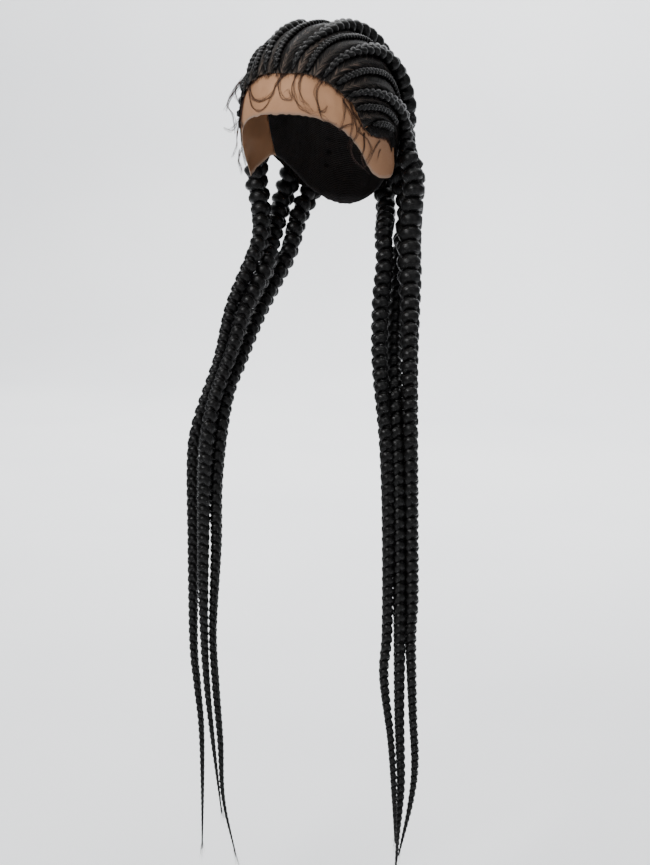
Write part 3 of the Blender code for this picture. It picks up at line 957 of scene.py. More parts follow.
def keep_facts(mesh, facts):
    """Stores each fact in the mesh: a number or a heading for each point in turn."""
    for label, values in facts.items():
        is_heading = hasattr(values[0], "__len__")
        layer = mesh.attributes.new(label, "FLOAT_VECTOR" if is_heading else "FLOAT", "POINT")
        flat = [part for value in values for part in value] if is_heading else values
        layer.data.foreach_set("vector" if is_heading else "value", flat)


def guide_mesh(name, lines, facts):
    """A mesh of open lines with these facts at its points."""
    mesh = bpy.data.meshes.new(name)
    points = [point for line in lines for point in line]
    edges = []
    first = 0
    for line in lines:
        edges.extend((first + at, first + at + 1) for at in range(len(line) - 1))
        first += len(line)
    mesh.from_pydata(points, edges, [])
    keep_facts(mesh, facts)
    return mesh


def grown(name, guide, tree, inputs):
    """Runs a tree on a guide mesh and keeps what it makes as a plain mesh object."""
    holder = link(bpy.data.objects.new(name + "_guide", guide))
    modifier = holder.modifiers.new(tree.name, "NODES")
    modifier.node_group = tree
    sockets = {item.name: item.identifier for item in tree.interface.items_tree if item.in_out == "INPUT"}
    for label, value in inputs.items():
        modifier[sockets[label]] = value
    bpy.context.view_layer.update()
    graph = bpy.context.evaluated_depsgraph_get()
    mesh = bpy.data.meshes.new_from_object(holder.evaluated_get(graph), depsgraph=graph)
    mesh.name = name
    bpy.data.objects.remove(holder, do_unlink=True)
    bpy.data.meshes.remove(guide)
    return link(bpy.data.objects.new(name, mesh))


def row_path(table, side):
    """The angles, point on the head form and lift of each step of a row, hairline to nape."""
    hand_share = 1.0 if side > 0 else RIGHT_LIFT_SHARE
    steps = []
    for point in smooth_path([Vector(row) for row in table], PATH_STEPS):
        place = dict(zip(ROW_COLUMNS, point))
        faded = (place["back"] - PARTING_FADE_START) / (PARTING_FADE_END - PARTING_FADE_START)
        shift = PARTING_SHIFT * (1.0 - ease(faded)) if side < 0 else 0.0
        angle = side * place["side"] - shift
        lift = max(0.0, place["lift"]) * hand_share * JUMBO_WIDTH
        steps.append((place["back"], angle, head_point(place["back"], angle), lift))
    return steps


def hairline_back(side):
    """The angle over the head at which the hair begins, at this angle to either side."""
    return between(HAIRLINE, abs(side), HAIRLINE_COLUMNS.index("back"))


def past_hairline(steps):
    """The steps of a row that lie a little behind the hairline."""
    return [step for step in steps if step[0] > hairline_back(step[1]) + ROW_START_BACK]


def plait_pitch(width):
    return LOBE_BASE + LOBE_PER_WIDTH * width


def thin_pitch(_):
    return THIN_LOBE_PITCH


def jumbo_size(run):
    """The width of a jumbo row at this run, and its thickness as a share of the width."""
    share = run / JUMBO_GROW_LENGTH
    width, thickness = [
        between(JUMBO_GROWTH, share, GROWTH_COLUMNS.index(column)) for column in ("width", "thickness")
    ]
    return JUMBO_WIDTH * width, thickness


def thin_size(_):
    return THIN_WIDTH, THIN_THICKNESS_SHARE


def row_route(steps, size_at):
    """Places along a row that rests on the cap: centre, facing, width and thickness of the plait."""
    runs = runs_of([point for _, _, point, _ in steps])
    route = []
    for (_, _, point, lift), run in zip(steps, runs):
        width, thickness = size_at(run)
        width *= ROW_START_SHARE + (1.0 - ROW_START_SHARE) * ease(run / ROW_START_REACH)
        normal = head_normal(point)
        height = CAP_THICKNESS + ROW_GAP + width * thickness / 2 + lift
        route.append((point + normal * height, normal, width, thickness))
    return route


def hanging_route(table, side, start, normal):
    """Places along a braid that goes on from the end of a row and hangs to its tip."""
    places = [dict(zip(HANGING_COLUMNS, row)) for row in table]
    points = [start]
    for place in places:
        out = side * place["side"] * HANG_SIDE
        points.append(Vector((out, place["back"] * HANG_FORWARD, -place["drop"] * HANG_DROP)))
    curve = smooth_path(points, PATH_STEPS)
    runs = runs_of(curve)
    widths = [(0.0, 1.0)]
    faces = [(0.0, math.degrees(math.atan2(abs(normal.x), -normal.y)))]
    for place, run in zip(places, runs[PATH_STEPS::PATH_STEPS]):
        widths.append((run, place["width"]))
        faces.append((run, place["face"]))
    route = []
    for point, run in zip(curve[1:], runs[1:]):
        turn = math.radians(between(faces, run, 1))
        facing = Vector((side * math.sin(turn), -math.cos(turn), 0.0))
        facing = normal.lerp(facing, ease(run / JUMBO_WIDTH)).normalized()
        width = JUMBO_WIDTH * between(widths, run, 1)
        route.append((point, facing, width, HANGING_THICKNESS_SHARE))
    return route


def smoothed_near(centres, place, reach):
    """Evens out the bends of a line of points within this reach of one of them."""
    centres = [point.copy() for point in centres]
    runs = runs_of(centres)
    near = [at for at in range(1, len(runs) - 1) if abs(runs[at] - runs[place]) < reach]
    for _ in range(JOIN_SMOOTH_ROUNDS):
        evened = {at: (centres[at - 1] + centres[at + 1]) / 2 for at in near}
        for at, point in evened.items():
            centres[at] = centres[at].lerp(point, 0.5)
    return centres


def plait_guide(name, route, pitch_of, side):
    """The middle line of a plait at even steps of its turn, with what its strands need."""
    centres, facings, widths, thicknesses = zip(*route)
    runs = runs_of(centres)
    turns = [0.0]
    for at in range(1, len(runs)):
        pitch = pitch_of((widths[at] + widths[at - 1]) / 2)
        turns.append(turns[-1] + 2.0 * math.pi * (runs[at] - runs[at - 1]) / (STRANDS * pitch))
    count = int(turns[-1] / (2.0 * math.pi) * STEPS_PER_TURN)
    line = []
    steps = []
    at = 1
    for step in range(count + 1):
        phase = turns[-1] * step / count
        while at < len(turns) - 1 and turns[at] < phase:
            at += 1
        share = (phase - turns[at - 1]) / (turns[at] - turns[at - 1])
        line.append(centres[at - 1].lerp(centres[at], share))
        front = facings[at - 1].lerp(facings[at], share)
        width = widths[at - 1] + share * (widths[at] - widths[at - 1])
        thickness = thicknesses[at - 1] + share * (thicknesses[at] - thicknesses[at - 1])
        steps.append((phase, front, width, thickness))
    facts = {label: [] for label in PLAIT_FACTS}
    for index, (phase, front, width, thickness) in enumerate(steps):
        height = line[index].z
        heading = (line[min(index + 1, count)] - line[max(index - 1, 0)]).normalized()
        across = heading.cross(front).normalized()
        dwell = PLAIT_DWELL * ease((width - DWELL_FROM_WIDTH) / DWELL_WIDTH_REACH)
        if height < DWELL_END_HEIGHT:
            dwell = PLAIT_DWELL
        hung = ease((PINCH_START_HEIGHT - height) / PINCH_FADE)
        low = ease((ARCH_HEIGHT - height) / PINCH_FADE)
        lobe = abs(math.cos((phase - side * math.pi / 2) * STRANDS / 2)) ** PINCH_ROUNDNESS
        facts["phase"].append(phase)
        facts["width"].append(width * (1.0 + PINCH * hung * (lobe - PINCH_MIDDLE)))
        facts["thickness"].append(thickness)
        facts["across"].append(across)
        facts["front"].append(across.cross(heading).normalized())
        facts["ahead"].append(heading)
        facts["slide"].append(dwell * pitch_of(width) * STRANDS / (4.0 * math.pi))
        facts["arch"].append(width * hung * (ARCH_HIGH + (ARCH_LOW - ARCH_HIGH) * low))
    return guide_mesh(name, [line], facts)


def sized_line(steps, size_at):
    """The angles of a row's steps, each with the row's width there."""
    runs = runs_of([point for _, _, point, _ in steps])
    return [(back, angle, size_at(run)[0]) for (back, angle, _, _), run in zip(steps, runs)]


def row_lines():
    """Each line between which hair is pulled, on both sides: its angles and widths."""
    lines = {"centre": sized_line(row_path(CENTRE_THIN_ROW, 1), thin_size)}
    for hand, side in (("left", 1), ("right", -1)):
        edge = [Vector((back, side * ear_side, 0)) for back, ear_side in EAR_SIDE]
        lines[f"{hand}_edge"] = [(place.x, place.y, 0.0) for place in smooth_path(edge, PATH_STEPS)]
        for kind, tables, size_at in (("thin", THIN_ROWS, thin_size), ("jumbo", JUMBO_ROWS, jumbo_size)):
            for number, table in tables.items():
                lines[f"{hand}_{kind}_{number}"] = sized_line(row_path(table, side), size_at)
    return lines


def side_at(line, back):
    """The side angle of a row at this place over the head. Past its start it runs on straight."""
    start_back, start_side, _ = line[0]
    if back < start_back:
        later_back, later_side, _ = line[SLOPE_STEPS]
        return start_side + (later_side - start_side) / (later_back - start_back) * (back - start_back)
    return between(line, back, LINE_COLUMNS.index("side"))


def width_at(line, back):
    return between(line, back, LINE_COLUMNS.index("width"))


class Band:
    """The hair between two neighbouring lines, pulled from the parting between them into both."""

    def __init__(self, lines, first, second):
        self.first = lines[first]
        self.second = lines[second]
        self.at_edge = "edge" in first or "edge" in second
        self.edge_first = "edge" in first

    def side(self, back, across):
        one = side_at(self.first, back)
        two = side_at(self.second, back)
        return one + (two - one) * across

    def toward_row(self, across):
        """0 at the parting and 1 at the row that the hair is pulled into."""
        if self.at_edge:
            return across if self.edge_first else 1.0 - across
        return abs(2.0 * across - 1.0)

    def across_at(self, toward, half):
        """Where across the band this share of the way to the first or second row is."""
        if self.at_edge:
            return toward if self.edge_first else 1.0 - toward
        return 0.5 - toward / 2 if half == 0 else 0.5 + toward / 2

    def height(self, back, across):
        """How high the hair stands over the head form: full between the rows, low under them."""
        width = width_at(self.first, back) * (1.0 - across) + width_at(self.second, back) * across
        rise = HAIR_RISE + HAIR_RISE_PER_WIDTH * width
        return CAP_THICKNESS + HAIR_GAP + rise * abs(math.sin(across * math.pi)) ** HAIR_BULGE

    def start_back(self, across):
        """The place over the head where the hairline crosses this line across the band."""
        back = HAIRLINE[0][1]
        for _ in range(HAIRLINE_TRIES):
            back = hairline_back(self.side(back, across))
        return back

    def end_back(self, across):
        """The last place over the back of the head that still lies on the cap."""
        back = NAPE_BACK
        while back > NAPE_BACK_LEAST:
            point = head_point(back, self.side(back, across))
            if -point.z < edge_drop(turn_of(point)) - NAPE_HAIR_MARGIN:
                break
            back -= 1.0
        return back


def head_bands():
    lines = row_lines()
    left = ["left_edge", "left_thin_4", "left_thin_3", "left_jumbo_3", "left_thin_2", "left_jumbo_2"]
    left += ["left_thin_1", "left_jumbo_1"]
    right = [name.replace("left", "right") for name in reversed(left)]
    order = left + ["centre"] + right
    return [Band(lines, one, two) for one, two in zip(order, order[1:])]


def pulled_point(band, back, across, extra=0.0):
    return above_head(back, band.side(back, across), band.height(back, across) + extra)


def pulled_way(band, back, across):
    """The way that the pulled hair runs here: towards its row, and back over the head."""
    nearer = band.toward_row(min(1.0, across + WAY_NUDGE)) > band.toward_row(across)
    step = (1.0 if nearer else -1.0) / BAND_COLUMNS
    ahead = pulled_point(band, back + HAIR_FLOW * 2 / BAND_COLUMNS, min(1.0, max(0.0, across + step)))
    return (ahead - pulled_point(band, back, across)).normalized()


def pulled_sheet(name, bands, material, seed):
    """The smooth hair between the rows, full in the middle and low where it enters a row."""
    chance = random.Random(seed)
    points = []
    faces = []
    ways = []
    fibres = []
    scalp_and_highlight_shares = []
    for number, band in enumerate(bands):
        first = len(points)
        for column in range(BAND_COLUMNS + 1):
            across = column / BAND_COLUMNS
            ragged = chance.uniform(0.0, HAIRLINE_RAGGED)
            start = band.start_back(across) + ragged
            end = band.end_back(across)
            toward = band.toward_row(across)
            for row in range(BAND_ROWS + 1):
                back = start + (end - start) * (row / BAND_ROWS) ** BAND_ROW_CROWDING
                points.append(pulled_point(band, back, across))
                ways.append(pulled_way(band, back, across))
                stripe = (back - HAIR_FLOW * toward) * DEGREE_LENGTH
                width_here = (pulled_point(band, back, 0.0) - pulled_point(band, back, 1.0)).length
                distance = toward * width_here * (1.0 if band.at_edge else 0.5)
                fibres.append((stripe, number * BAND_STRIPE_SHIFT + (0.5 if across > 0.5 else 0.0), distance))
                from_start = (back - start + ragged) * DEGREE_LENGTH
                # This share is partly scalp and partly painted highlight: the broad parting band also stands
                # for light on the bulging hair, and it fades back from the hairline.
                parting = PARTING_SHARE * math.exp(-(distance / PARTING_HALF_WIDTH) ** 2)
                if band.at_edge:
                    parting *= EDGE_SCALP_SHARE
                fade = PARTING_SHADE + (1.0 - PARTING_SHADE) * (1.0 - ease(from_start / PARTING_LENGTH))
                front = math.exp(-from_start / HAIRLINE_FADE)
                scalp_and_highlight_shares.append(max(parting * fade, front))
        rows = BAND_ROWS + 1
        for column in range(BAND_COLUMNS):
            for row in range(BAND_ROWS):
                corner = first + column * rows + row
                faces.append((corner, corner + 1, corner + rows + 1, corner + rows))
    mesh = bpy.data.meshes.new(name)
    mesh.from_pydata(points, [], faces)
    keep_facts(mesh, {"strand_way": ways, "fibre": fibres, "scalp_and_highlight": scalp_and_highlight_shares})
    return smooth_object(name, mesh, material)


def pulled_hairs(name, bands, tree, material, seed):
    """Single hairs over the sheet, from the partings into the rows."""
    chance = random.Random(seed)
    lines = []
    for band in bands:
        for half in range(1 if band.at_edge else 2):
            middle = band.across_at(0.5, half)
            back = band.start_back(middle) - HAIR_FLOW * 0.5
            end = band.end_back(middle) - HAIR_FLOW
            while back < end:
                back += PULLED_STEP if back < PULLED_CLOSE_END else PULLED_STEP_BACK
                root = chance.uniform(*PULLED_ROOTS)
                steps = []
                for share in PULLED_SHARES:
                    toward = root + (PULLED_REACH - root) * share
                    across = band.across_at(toward, half)
                    place = back + HAIR_FLOW * toward + chance.uniform(-PULLED_JITTER, PULLED_JITTER)
                    if place < band.start_back(across):
                        place = band.start_back(across) + PULLED_START_GAP
                    lift = PULLED_HAIR_RISE * math.sin(share * math.pi)
                    steps.append((share, pulled_point(band, place, across, lift)))
                lines.append(hair_line(steps, PULLED_HAIR_RADIUS, "single"))
    return fine_hairs(name, lines, "single", tree, material, seed)


def cloth_fold(turn, share):
    """How far the small folds of the lace raise it at this place."""
    rise = 0.0
    for row in LACE_FOLDS:
        fold = dict(zip(FOLD_COLUMNS, row))
        along = (share - fold["top"]) / (fold["bottom"] - fold["top"])
        if 0.0 < along < 1.0:
            middle = fold["turn"] + fold["lean"] * along
            away = (turn - middle) / fold["spread"]
            rise += fold["height"] * math.exp(-away * away) * math.sin(along * math.pi)
    return rise


def cap_cloth(name, keep_front, material):
    """The lace front or the net at the back: one side of the seam, on the outside of the cap."""
    shape = bmesh.new()
    uv_layer = shape.loops.layers.uv.new("cloth")
    near_layer = shape.verts.layers.float.new("edge_near")
    chance = random.Random(CLOTH_SEEDS[keep_front])
    waves = [chance.uniform(-1.0, 1.0) for _ in range(CAP_TURN_STEPS)]
    rings = []
    for fall_step in range(CAP_FALL_STEPS + 1):
        ring = []
        for turn_step in range(CAP_TURN_STEPS):
            turn = 360.0 * turn_step / CAP_TURN_STEPS
            share = fall_step / CAP_FALL_STEPS
            cut = EDGE_WAVE * waves[turn_step] * share**EDGE_WAVE_FALL / edge_drop(turn)
            if fall_step == 0:
                point = Vector((0, 0, 0))
            else:
                signed = turn if turn < 180 else turn - 360
                point = cap_point(turn, share + cut)
                point += head_normal(point) * cloth_fold(signed, share)
            if fall_step > 0 or turn_step == 0:
                made = shape.verts.new(point)
                made[near_layer] = max(0.0, 1.0 - (1.0 - share) * edge_drop(turn) / EDGE_SHADE)
            ring.append(made)
        rings.append(ring)
    for fall_step in range(CAP_FALL_STEPS):
        for turn_step in range(CAP_TURN_STEPS):
            after = (turn_step + 1) % CAP_TURN_STEPS
            inner, outer = rings[fall_step], rings[fall_step + 1]
            corners = [inner[turn_step], outer[turn_step], outer[after], inner[after]]
            if fall_step == 0:
                corners = corners[:3]
            face = shape.faces.new(corners)
            for loop, (turned, fallen) in zip(face.loops, ((0, 0), (0, 1), (1, 1), (1, 0))):
                around = (turn_step + turned) / CAP_TURN_STEPS * CLOTH_ROUND
                down = (fall_step + fallen) / CAP_FALL_STEPS * CLOTH_DOWN
                loop[uv_layer].uv = (around, down)
    away = Vector((0, 1, SEAM_SLOPE)).normalized()
    bmesh.ops.bisect_plane(
        shape,
        geom=shape.verts[:] + shape.edges[:] + shape.faces[:],
        plane_co=Vector((0, SEAM_BACK_AT_CROWN, 0)) + away * SEAM_GAP / 2 * (-1 if keep_front else 1),
        plane_no=away,
        clear_outer=keep_front,
        clear_inner=not keep_front,
    )
    for vert in shape.verts:
        vert.co += head_normal(vert.co) * (CAP_THICKNESS - CLOTH_THICKNESS)
    for face in shape.faces:
        if face.normal.dot(face.calc_center_median() + Vector((0, 0, CROWN_RISE))) < 0:
            face.normal_flip()
    made = smooth_object(name, finished_mesh(name, shape), material)
    shell = made.modifiers.new("Shell", "SOLIDIFY")
    shell.thickness = CLOTH_THICKNESS
    shell.offset = 1.0
    return made


def thrown_vector(chance, reach):
    return Vector([chance.uniform(-reach, reach) for _ in range(3)])


def hair_line(steps, radius, kind):
    """The points of a fine hair, from steps of (share of its length, point), with its radius there."""
    root, loss = TAPERS[kind]
    return [(point, radius * (root - loss * share)) for share, point in steps]


def fine_hairs(name, lines, kind, tree, material, seed):
    """Fine hairs of one kind along lines of (point, radius)."""
    paths = [[point for point, _ in line] for line in lines]
    guide = guide_mesh(name, paths, {"hair_radius": [radius for line in lines for _, radius in line]})
    inputs = dict(zip(SPREAD_INPUTS, SPREADS[kind]))
    return grown(name, guide, tree, {**inputs, "Seed": seed, "Hair": material})


def shares_along(line):
    """Each point of a line with how far along it lies, 0 at its start and 1 at its end."""
    return [(index / (len(line) - 1), place) for index, place in enumerate(line)]


def loose_loops(name, tree, material, seed):
    """Loops of fine hair laid on the lace below the hairline, and the wisps off the right temple."""
    chance = random.Random(seed)
    lines = []
    loops = [(table, 1) for table in FOREHEAD_LOOPS + TEMPLE_LOOPS]
    loops += [(table, -1) for table in TEMPLE_LOOPS]
    for table, side in loops:
        for _ in range(LOOP_LOCKS):
            angles = [Vector((*place, 0)) + thrown_vector(chance, LOOP_LOOSENESS) for place in table]
            if len(angles) > SHORT_LOOP:
                angles = angles[:len(angles) - chance.randrange(2)]
            path = [
                above_head(place.x, side * place.y, CAP_THICKNESS + LOOP_RISE)
                for place in smooth_path(angles, LOOP_STEPS)
            ]
            lines.append(hair_line(shares_along(path), LOOP_HAIR_RADIUS, "loop"))
    for table in FAR_WISPS:
        for _ in range(LOOP_LOCKS):
            loose = [Vector(place) + thrown_vector(chance, WISP_LOOSENESS) for place in table]
            path = smooth_path(loose, LOOP_STEPS)
            lines.append(hair_line(shares_along(path), WISP_HAIR_RADIUS, "loop"))
    return fine_hairs(name, lines, "loop", tree, material, seed)


def hairline_fuzz(name, tree, material, seed):
    """Short fine hairs along the hairline, lying forward on the lace, and down behind the ears."""
    chance = random.Random(seed)
    lines = []
    for number in range(FUZZ_HAIRS + EAR_FUZZ_HAIRS):
        reach = chance.uniform(*FUZZ_LENGTHS) ** 2 * FUZZ_REACH
        lean = chance.uniform(-1.0, 1.0) * reach * FUZZ_LEAN
        if number < FUZZ_HAIRS:
            side = chance.uniform(-FUZZ_SIDE, FUZZ_SIDE)
            back = hairline_back(side) + chance.uniform(0.0, FUZZ_ROOTS)
            way = Vector((-reach, lean))
        else:
            hand = chance.choice((-1, 1))
            back = chance.uniform(*EAR_FUZZ_BACK)
            edge = between(EAR_SIDE, back, EAR_SIDE_COLUMNS.index("side"))
            side = hand * (edge - chance.uniform(0.0, EAR_FUZZ_ROOTS))
            way = Vector((lean, hand * reach * EAR_FUZZ_REACH))
        steps = []
        for share in FUZZ_SHARES:
            place = Vector((back, side)) + way * share
            steps.append((share, above_head(place.x, place.y, CAP_THICKNESS + LOOP_RISE * FUZZ_RISE_SHARE)))
        lines.append(hair_line(steps, LOOP_HAIR_RADIUS, "fuzz"))
    return fine_hairs(name, lines, "fuzz", tree, material, seed)


def tip_hairs(name, route, tree, material, seed):
    """The thin loose ends below the tip of a hanging braid."""
    chance = random.Random(seed)
    tip = route[-1][0]
    heading = (tip - route[-TIP_HEADING_STEPS][0]).normalized()
    lines = []
    for _ in range(TIP_HAIRS):
        length = TIP_LENGTH * chance.uniform(*TIP_LENGTH_SHARES)
        lean = Vector([chance.uniform(-reach, reach) for reach in TIP_LEAN])
        steps = []
        for step in range(TIP_STEPS + 1):
            share = step / TIP_STEPS
            point = tip - heading * TIP_SINK + heading * length * share
            steps.append((share, point + lean * TIP_SPREAD * share**TIP_CURVE))
        lines.append(hair_line(steps, LOOP_HAIR_RADIUS, "tip"))
    return fine_hairs(name, lines, "tip", tree, material, seed)


def stray_hairs(name, routes, tree, material, seed):
    """Short fine hairs that stand a little off the plaits."""
    chance = random.Random(seed)
    lines = []
    for route, amount in routes:
        for _ in range(amount):
            at = chance.randrange(2, len(route) - 3)
            centre, facing, width, _ = route[at]
            heading = (route[at + 2][0] - centre).normalized()
            across = heading.cross(facing).normalized()
            turn = chance.uniform(*STRAY_TURNS) * math.pi
            out = across * math.cos(turn) + facing * math.sin(turn)
            length = chance.uniform(*STRAY_LENGTHS)
            root = centre + out * width * STRAY_ROOT
            steps = []
            for step in range(STRAY_STEPS + 1):
                share = step / STRAY_STEPS
                point = root + heading * length * share
                steps.append((share, point + out * STRAY_RISE * chance.uniform(*STRAY_LIFTS) * share))
            lines.append(hair_line(steps, STRAY_RADIUS, "stray"))
    return fine_hairs(name, lines, "stray", tree, material, seed)


def new_material(name):
    material = bpy.data.materials.new(name)
    material.use_nodes = True
    return material, material.node_tree, material.node_tree.nodes["Principled BSDF"]


def read_mesh_fact(tree, label, part="Vector"):
    return result(tree, "ShaderNodeAttribute", part, attribute_name=label)


def stretched(tree, vector, share):
    """The coordinates with the length scaled by this share, for a pattern that runs along the hair."""
    return vector_maths(tree, "MULTIPLY", vector, (1.0, 1.0, share))


def noise(tree, vector, scale, grain):
    detail, roughness = grain
    inputs = {"Vector": vector, "Scale": scale, "Detail": detail, "Roughness": roughness}
    return result(tree, "ShaderNodeTexNoise", "Fac", inputs)


def ramp(tree, value, places, colours):
    """A ramp between two colours that lie at these two places."""
    made = add_node(tree, "ShaderNodeValToRGB", {"Fac": value})
    for element, place, colour in zip(made.color_ramp.elements, places, colours):
        element.position = place
        element.color = colour
    return made.outputs["Color"]


def mixed(tree, share, one, two):
    return result(tree, "ShaderNodeMix", "Result", {"Factor": share, "A": one, "B": two}, data_type="RGBA")


def map_range(tree, value, start, end, to_start=0.0, to_end=1.0):
    ends = {"From Min": start, "From Max": end, "To Min": to_start, "To Max": to_end}
    return result(tree, "ShaderNodeMapRange", "Result", {"Value": value, **ends})


def bumped(tree, height, distance, strength):
    inputs = {"Height": height, "Distance": distance, "Strength": strength}
    return result(tree, "ShaderNodeBump", "Normal", inputs)


def hair_finish(name):
    """Satin fibre hair: streaks along the strand, and a highlight stretched across it."""
    dark, light, streak_scale, depth, gloss = HAIR_FINISHES[name]
    material, tree, shader = new_material(name)
    fibre = read_mesh_fact(tree, "fibre")
    fine = noise(tree, stretched(tree, fibre, STREAK_LENGTH_SHARE), streak_scale, FINE_GRAIN)
    clumps = stretched(tree, fibre, CLUMP_LENGTH_SHARE)
    locks = noise(tree, clumps, streak_scale * CLUMP_SCALE_SHARE, CLUMP_GRAIN)
    both = maths(tree, "MULTIPLY_ADD", locks, 0.5, maths(tree, "MULTIPLY", fine, 0.5))
    fill(tree, shader, {
        "Base Color": ramp(tree, both, STREAK_ENDS, (dark, light)),
        "Roughness": map_range(tree, both, *STREAK_ENDS, gloss + DULL_STREAK, gloss - BRIGHT_STREAK),
        "Normal": bumped(tree, both, depth, HAIR_BUMP),
        "Tangent": read_mesh_fact(tree, "strand_way"),
        "Anisotropic": HAIR_STRETCH,
        "Anisotropic Rotation": HAIR_STRETCH_TURN,
        "IOR": HAIR_IOR,
        "Specular IOR Level": HAIR_SHINE,
    })
    return material


def pulled_finish(name):
    """Hair pulled from the partings: the scalp tone shows in the partings and at the hairline, and the broad
    lighter parting bands are partly painted highlight on the bulging hair.
    """
    material = hair_finish(name)
    tree = material.node_tree
    shader = tree.nodes["Principled BSDF"]
    hair_colour = shader.inputs["Base Color"].links[0].from_socket
    along = stretched(tree, read_mesh_fact(tree, "fibre"), STROKE_LENGTH_SHARE)
    strokes = noise(tree, along, STROKE_SCALE, STROKE_GRAIN)
    strokes = maths(tree, "MULTIPLY_ADD", strokes, STROKE_FORCE, -STROKE_FORCE / 2)
    opened = maths(tree, "ADD", read_mesh_fact(tree, "scalp_and_highlight", "Fac"), strokes)
    streaked = mixed(tree, map_range(tree, opened, *STROKE_ENDS), hair_colour, PULLED_STROKE)
    bare = map_range(tree, opened, *BARE_ENDS, 0.0, BARE_MOST)
    fill(tree, shader, {
        "Base Color": mixed(tree, bare, streaked, SCALP_TONE),
        "Specular IOR Level": PULLED_SHINE,
    })
    return material


def lace_finish(name):
    """Fine net: threads round small cells, with the cells partly see-through."""
    thread, ground, edge_tone, side_shade_tone, hole_cover, cell = CLOTH_FINISHES[name]
    material, tree, shader = new_material(name)
    uv = result(tree, "ShaderNodeUVMap", "UV", uv_map="cloth")
    cells = {"Vector": uv, "Scale": 1.0 / cell, "Randomness": CELL_JITTER}
    settings = {"voronoi_dimensions": "2D", "feature": "DISTANCE_TO_EDGE"}
    distance = result(tree, "ShaderNodeTexVoronoi", "Distance", cells, **settings)
    threads = map_range(tree, distance, *THREAD_REACH, 1.0, 0.0)
    place = result(tree, "ShaderNodeTexCoord", "Object")
    soft = map_range(tree, noise(tree, place, CLOTH_CLOUD, FINE_GRAIN), *CLOUD_ENDS)
    sideways = maths(tree, "ABSOLUTE", result(tree, "ShaderNodeSeparateXYZ", "X", {"Vector": place}))
    tone = mixed(tree, soft, ground, thread)
    # Painted shade: the lace darkens towards the ears, between the two reaches out from the middle.
    tone = mixed(tree, map_range(tree, sideways, *LACE_SIDE_SHADE_REACH), tone, side_shade_tone)
    near = read_mesh_fact(tree, "edge_near", "Fac")
    cover = map_range(tree, threads, 0.0, 1.0, hole_cover, 1.0)
    fill(tree, shader, {
        "Base Color": mixed(tree, near, tone, edge_tone),
        "Alpha": maths(tree, "MAXIMUM", cover, near),
        "Normal": bumped(tree, threads, THREAD_DEPTH, THREAD_BUMP),
        "Roughness": CLOTH_ROUGHNESS,
        "Specular IOR Level": CLOTH_SHINE,
    })
    return material


def studio_finish():
    material, tree, shader = new_material("studio_paper")
    cloud = noise(tree, result(tree, "ShaderNodeTexCoord", "Object"), PAPER_CLOUD, PAPER_GRAIN)
    paper = ramp(tree, cloud, CLOUD_ENDS, (PAPER_LOW, PAPER_HIGH))
    fill(tree, shader, {"Base Color": paper, "Roughness": PAPER_ROUGHNESS})
    return material


def studio_sweep():
    """A plain pale floor that curves up into a wall behind."""
    shape = bmesh.new()
    outline = [(FLOOR_FRONT, FLOOR_HEIGHT), (WALL_BACK - SWEEP_RADIUS, FLOOR_HEIGHT)]
    for step in range(1, SWEEP_STEPS + 1):
        turn = math.pi / 2 * step / SWEEP_STEPS
        back = WALL_BACK - SWEEP_RADIUS + SWEEP_RADIUS * math.sin(turn)
        outline.append((back, FLOOR_HEIGHT + SWEEP_RADIUS * (1.0 - math.cos(turn))))
    outline.append((WALL_BACK, WALL_TOP))
    rows = [[shape.verts.new((x, y, z)) for x in (-SWEEP_HALF_WIDTH, SWEEP_HALF_WIDTH)] for y, z in outline]
    for one, two in zip(rows, rows[1:]):
        shape.faces.new((one[0], one[1], two[1], two[0]))
    sweep = smooth_object("studio_sweep", finished_mesh("studio_sweep", shape), studio_finish())


def soft_light(name, place, target, size, power):
    lamp = bpy.data.lights.new(name, "AREA")
    lamp.shape = "RECTANGLE"
    lamp.size, lamp.size_y = size
    lamp.energy = power
    made = link(bpy.data.objects.new(name, lamp))
    made.location = place
    made.rotation_euler = (Vector(target) - Vector(place)).to_track_quat("-Z", "Y").to_euler()


def studio_light():
    world = bpy.data.worlds.new("studio_air")
    world.use_nodes = True
    world.node_tree.nodes["Background"].inputs["Color"].default_value = AIR_TONE
    world.node_tree.nodes["Background"].inputs["Strength"].default_value = AIR_STRENGTH
    bpy.context.scene.world = world
    for name, (place, target, size, power) in LAMPS.items():
        soft_light(name, place, target, size, power)


def photo_camera():
    camera = bpy.data.cameras.new("photo_camera")
    camera.sensor_width = SENSOR_SIZE
    camera.lens = PHOTO_FOCAL / PHOTO_HEIGHT * SENSOR_SIZE
    made = link(bpy.data.objects.new("photo_camera", camera))
    made.location = CAMERA_PLACE
    made.rotation_euler = (math.radians(90.0 + CAMERA_TILT), 0.0, math.radians(CAMERA_TURN))
    bpy.context.scene.camera = made


def dress(piece, slot, *nodes):
    """Ties a finished piece to the body, in place of its solids. The slot is not used."""
    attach(piece, "root")
    if nodes:
        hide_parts(*nodes)


def make_plait(name, route, pitch_of, side, looks, nodes):
    """A plait along the route, in place of these solids. Returns its route for the loose hairs."""
    tree, material, sides, slot = looks
    guide = plait_guide(name, route, pitch_of, side)
    dress(grown(name, guide, tree, {"Sides": sides, "Hair": material}), slot, *nodes)
    return route


def make_jumbo(number, side, tree, material):
    """One jumbo row and the braid that hangs from it, as one plait."""
    hand = "left" if side > 0 else "right"
    on_head = row_route(past_hairline(row_path(JUMBO_ROWS[number], side)), jumbo_size)
    end, normal, _, _ = on_head[-1]
    route = on_head + hanging_route(HANGING_BRAIDS[f"{hand}_{number}"], side, end, normal)
    centres = smoothed_near([place[0] for place in route], len(on_head) - 1, JOIN_SMOOTH_REACH)
    route = [(centre, *place[1:]) for centre, place in zip(centres, route)]
    name = f"jumbo_plait_{hand}_{number}"
    nodes = (f"jumbo_row_{hand}_{number}", f"hanging_braid_{hand}_{number}")
    looks = (tree, material, JUMBO_SIDES, "braid_hair")
    return make_plait(name, route, plait_pitch, side, looks, nodes)


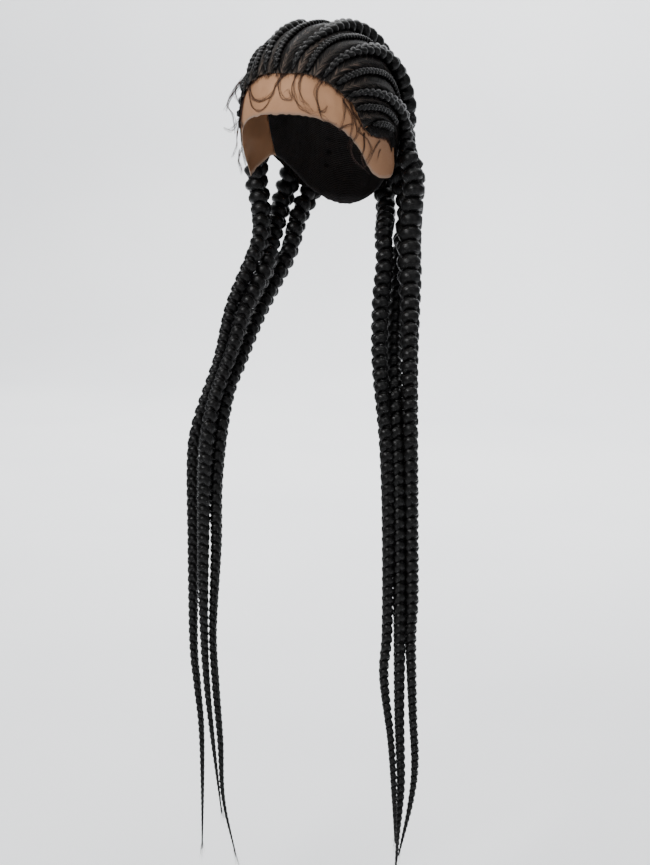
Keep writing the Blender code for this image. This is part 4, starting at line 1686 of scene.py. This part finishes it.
def make_thin(name, table, side, tree, material):
    route = row_route(past_hairline(row_path(table, side)), thin_size)
    looks = (tree, material, THIN_SIDES, "thin_row_hair")
    return make_plait(f"{name}_plait", route, thin_pitch, side, looks, (name,))


def make_wig():
    plaits = plait_tree()
    hairs = hair_tree()
    plait_hair = hair_finish("plait_hair")
    thin_hair = hair_finish("thin_plait_hair")
    loose_hair = hair_finish("loose_hair")
    loop_hair = hair_finish("loop_hair")
    pulled_hair = pulled_finish("pulled_hair")

    front = cap_cloth("lace_front_net", True, lace_finish("front_lace"))
    dress(front, "lace", "lace_front")
    back = cap_cloth("cap_back_net", False, lace_finish("cap_net"))
    dress(back, "cap_net", "cap_back")

    jumbo_routes = []
    thin_routes = []
    for side, hand in ((1, "left"), (-1, "right")):
        for number in JUMBO_ROWS:
            jumbo_routes.append(make_jumbo(number, side, plaits, plait_hair))
        for number, table in THIN_ROWS.items():
            thin_routes.append(make_thin(f"thin_row_{hand}_{number}", table, side, plaits, thin_hair))
    thin_routes.append(make_thin("thin_row_centre", CENTRE_THIN_ROW, 1, plaits, thin_hair))

    bands = head_bands()
    half = len(bands) // 2
    loose = []
    for hand, chosen in (("left", bands[:half]), ("right", bands[half:])):
        seed = PULLED_SEEDS[hand]
        loose.append(pulled_sheet(f"pulled_hair_{hand}", chosen, pulled_hair, seed))
        loose.append(pulled_hairs(f"single_hairs_{hand}", chosen, hairs, loose_hair, seed))
    loose.append(loose_loops("hairline_loops", hairs, loop_hair, LOOP_SEED))
    loose.append(hairline_fuzz("hairline_fuzz", hairs, loop_hair, FUZZ_SEED))
    for number, route in enumerate(jumbo_routes):
        loose.append(tip_hairs(f"tip_hairs_{number + 1}", route, hairs, loose_hair, TIP_SEED + number))
    strays = [(route, JUMBO_STRAYS) for route in jumbo_routes]
    strays += [(route, THIN_STRAYS) for route in thin_routes]
    loose.append(stray_hairs("stray_hairs", strays, hairs, loose_hair, STRAY_SEED))
    for piece in loose:
        dress(piece, "braid_hair")


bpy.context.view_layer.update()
make_wig()
studio_sweep()
studio_light()
photo_camera()
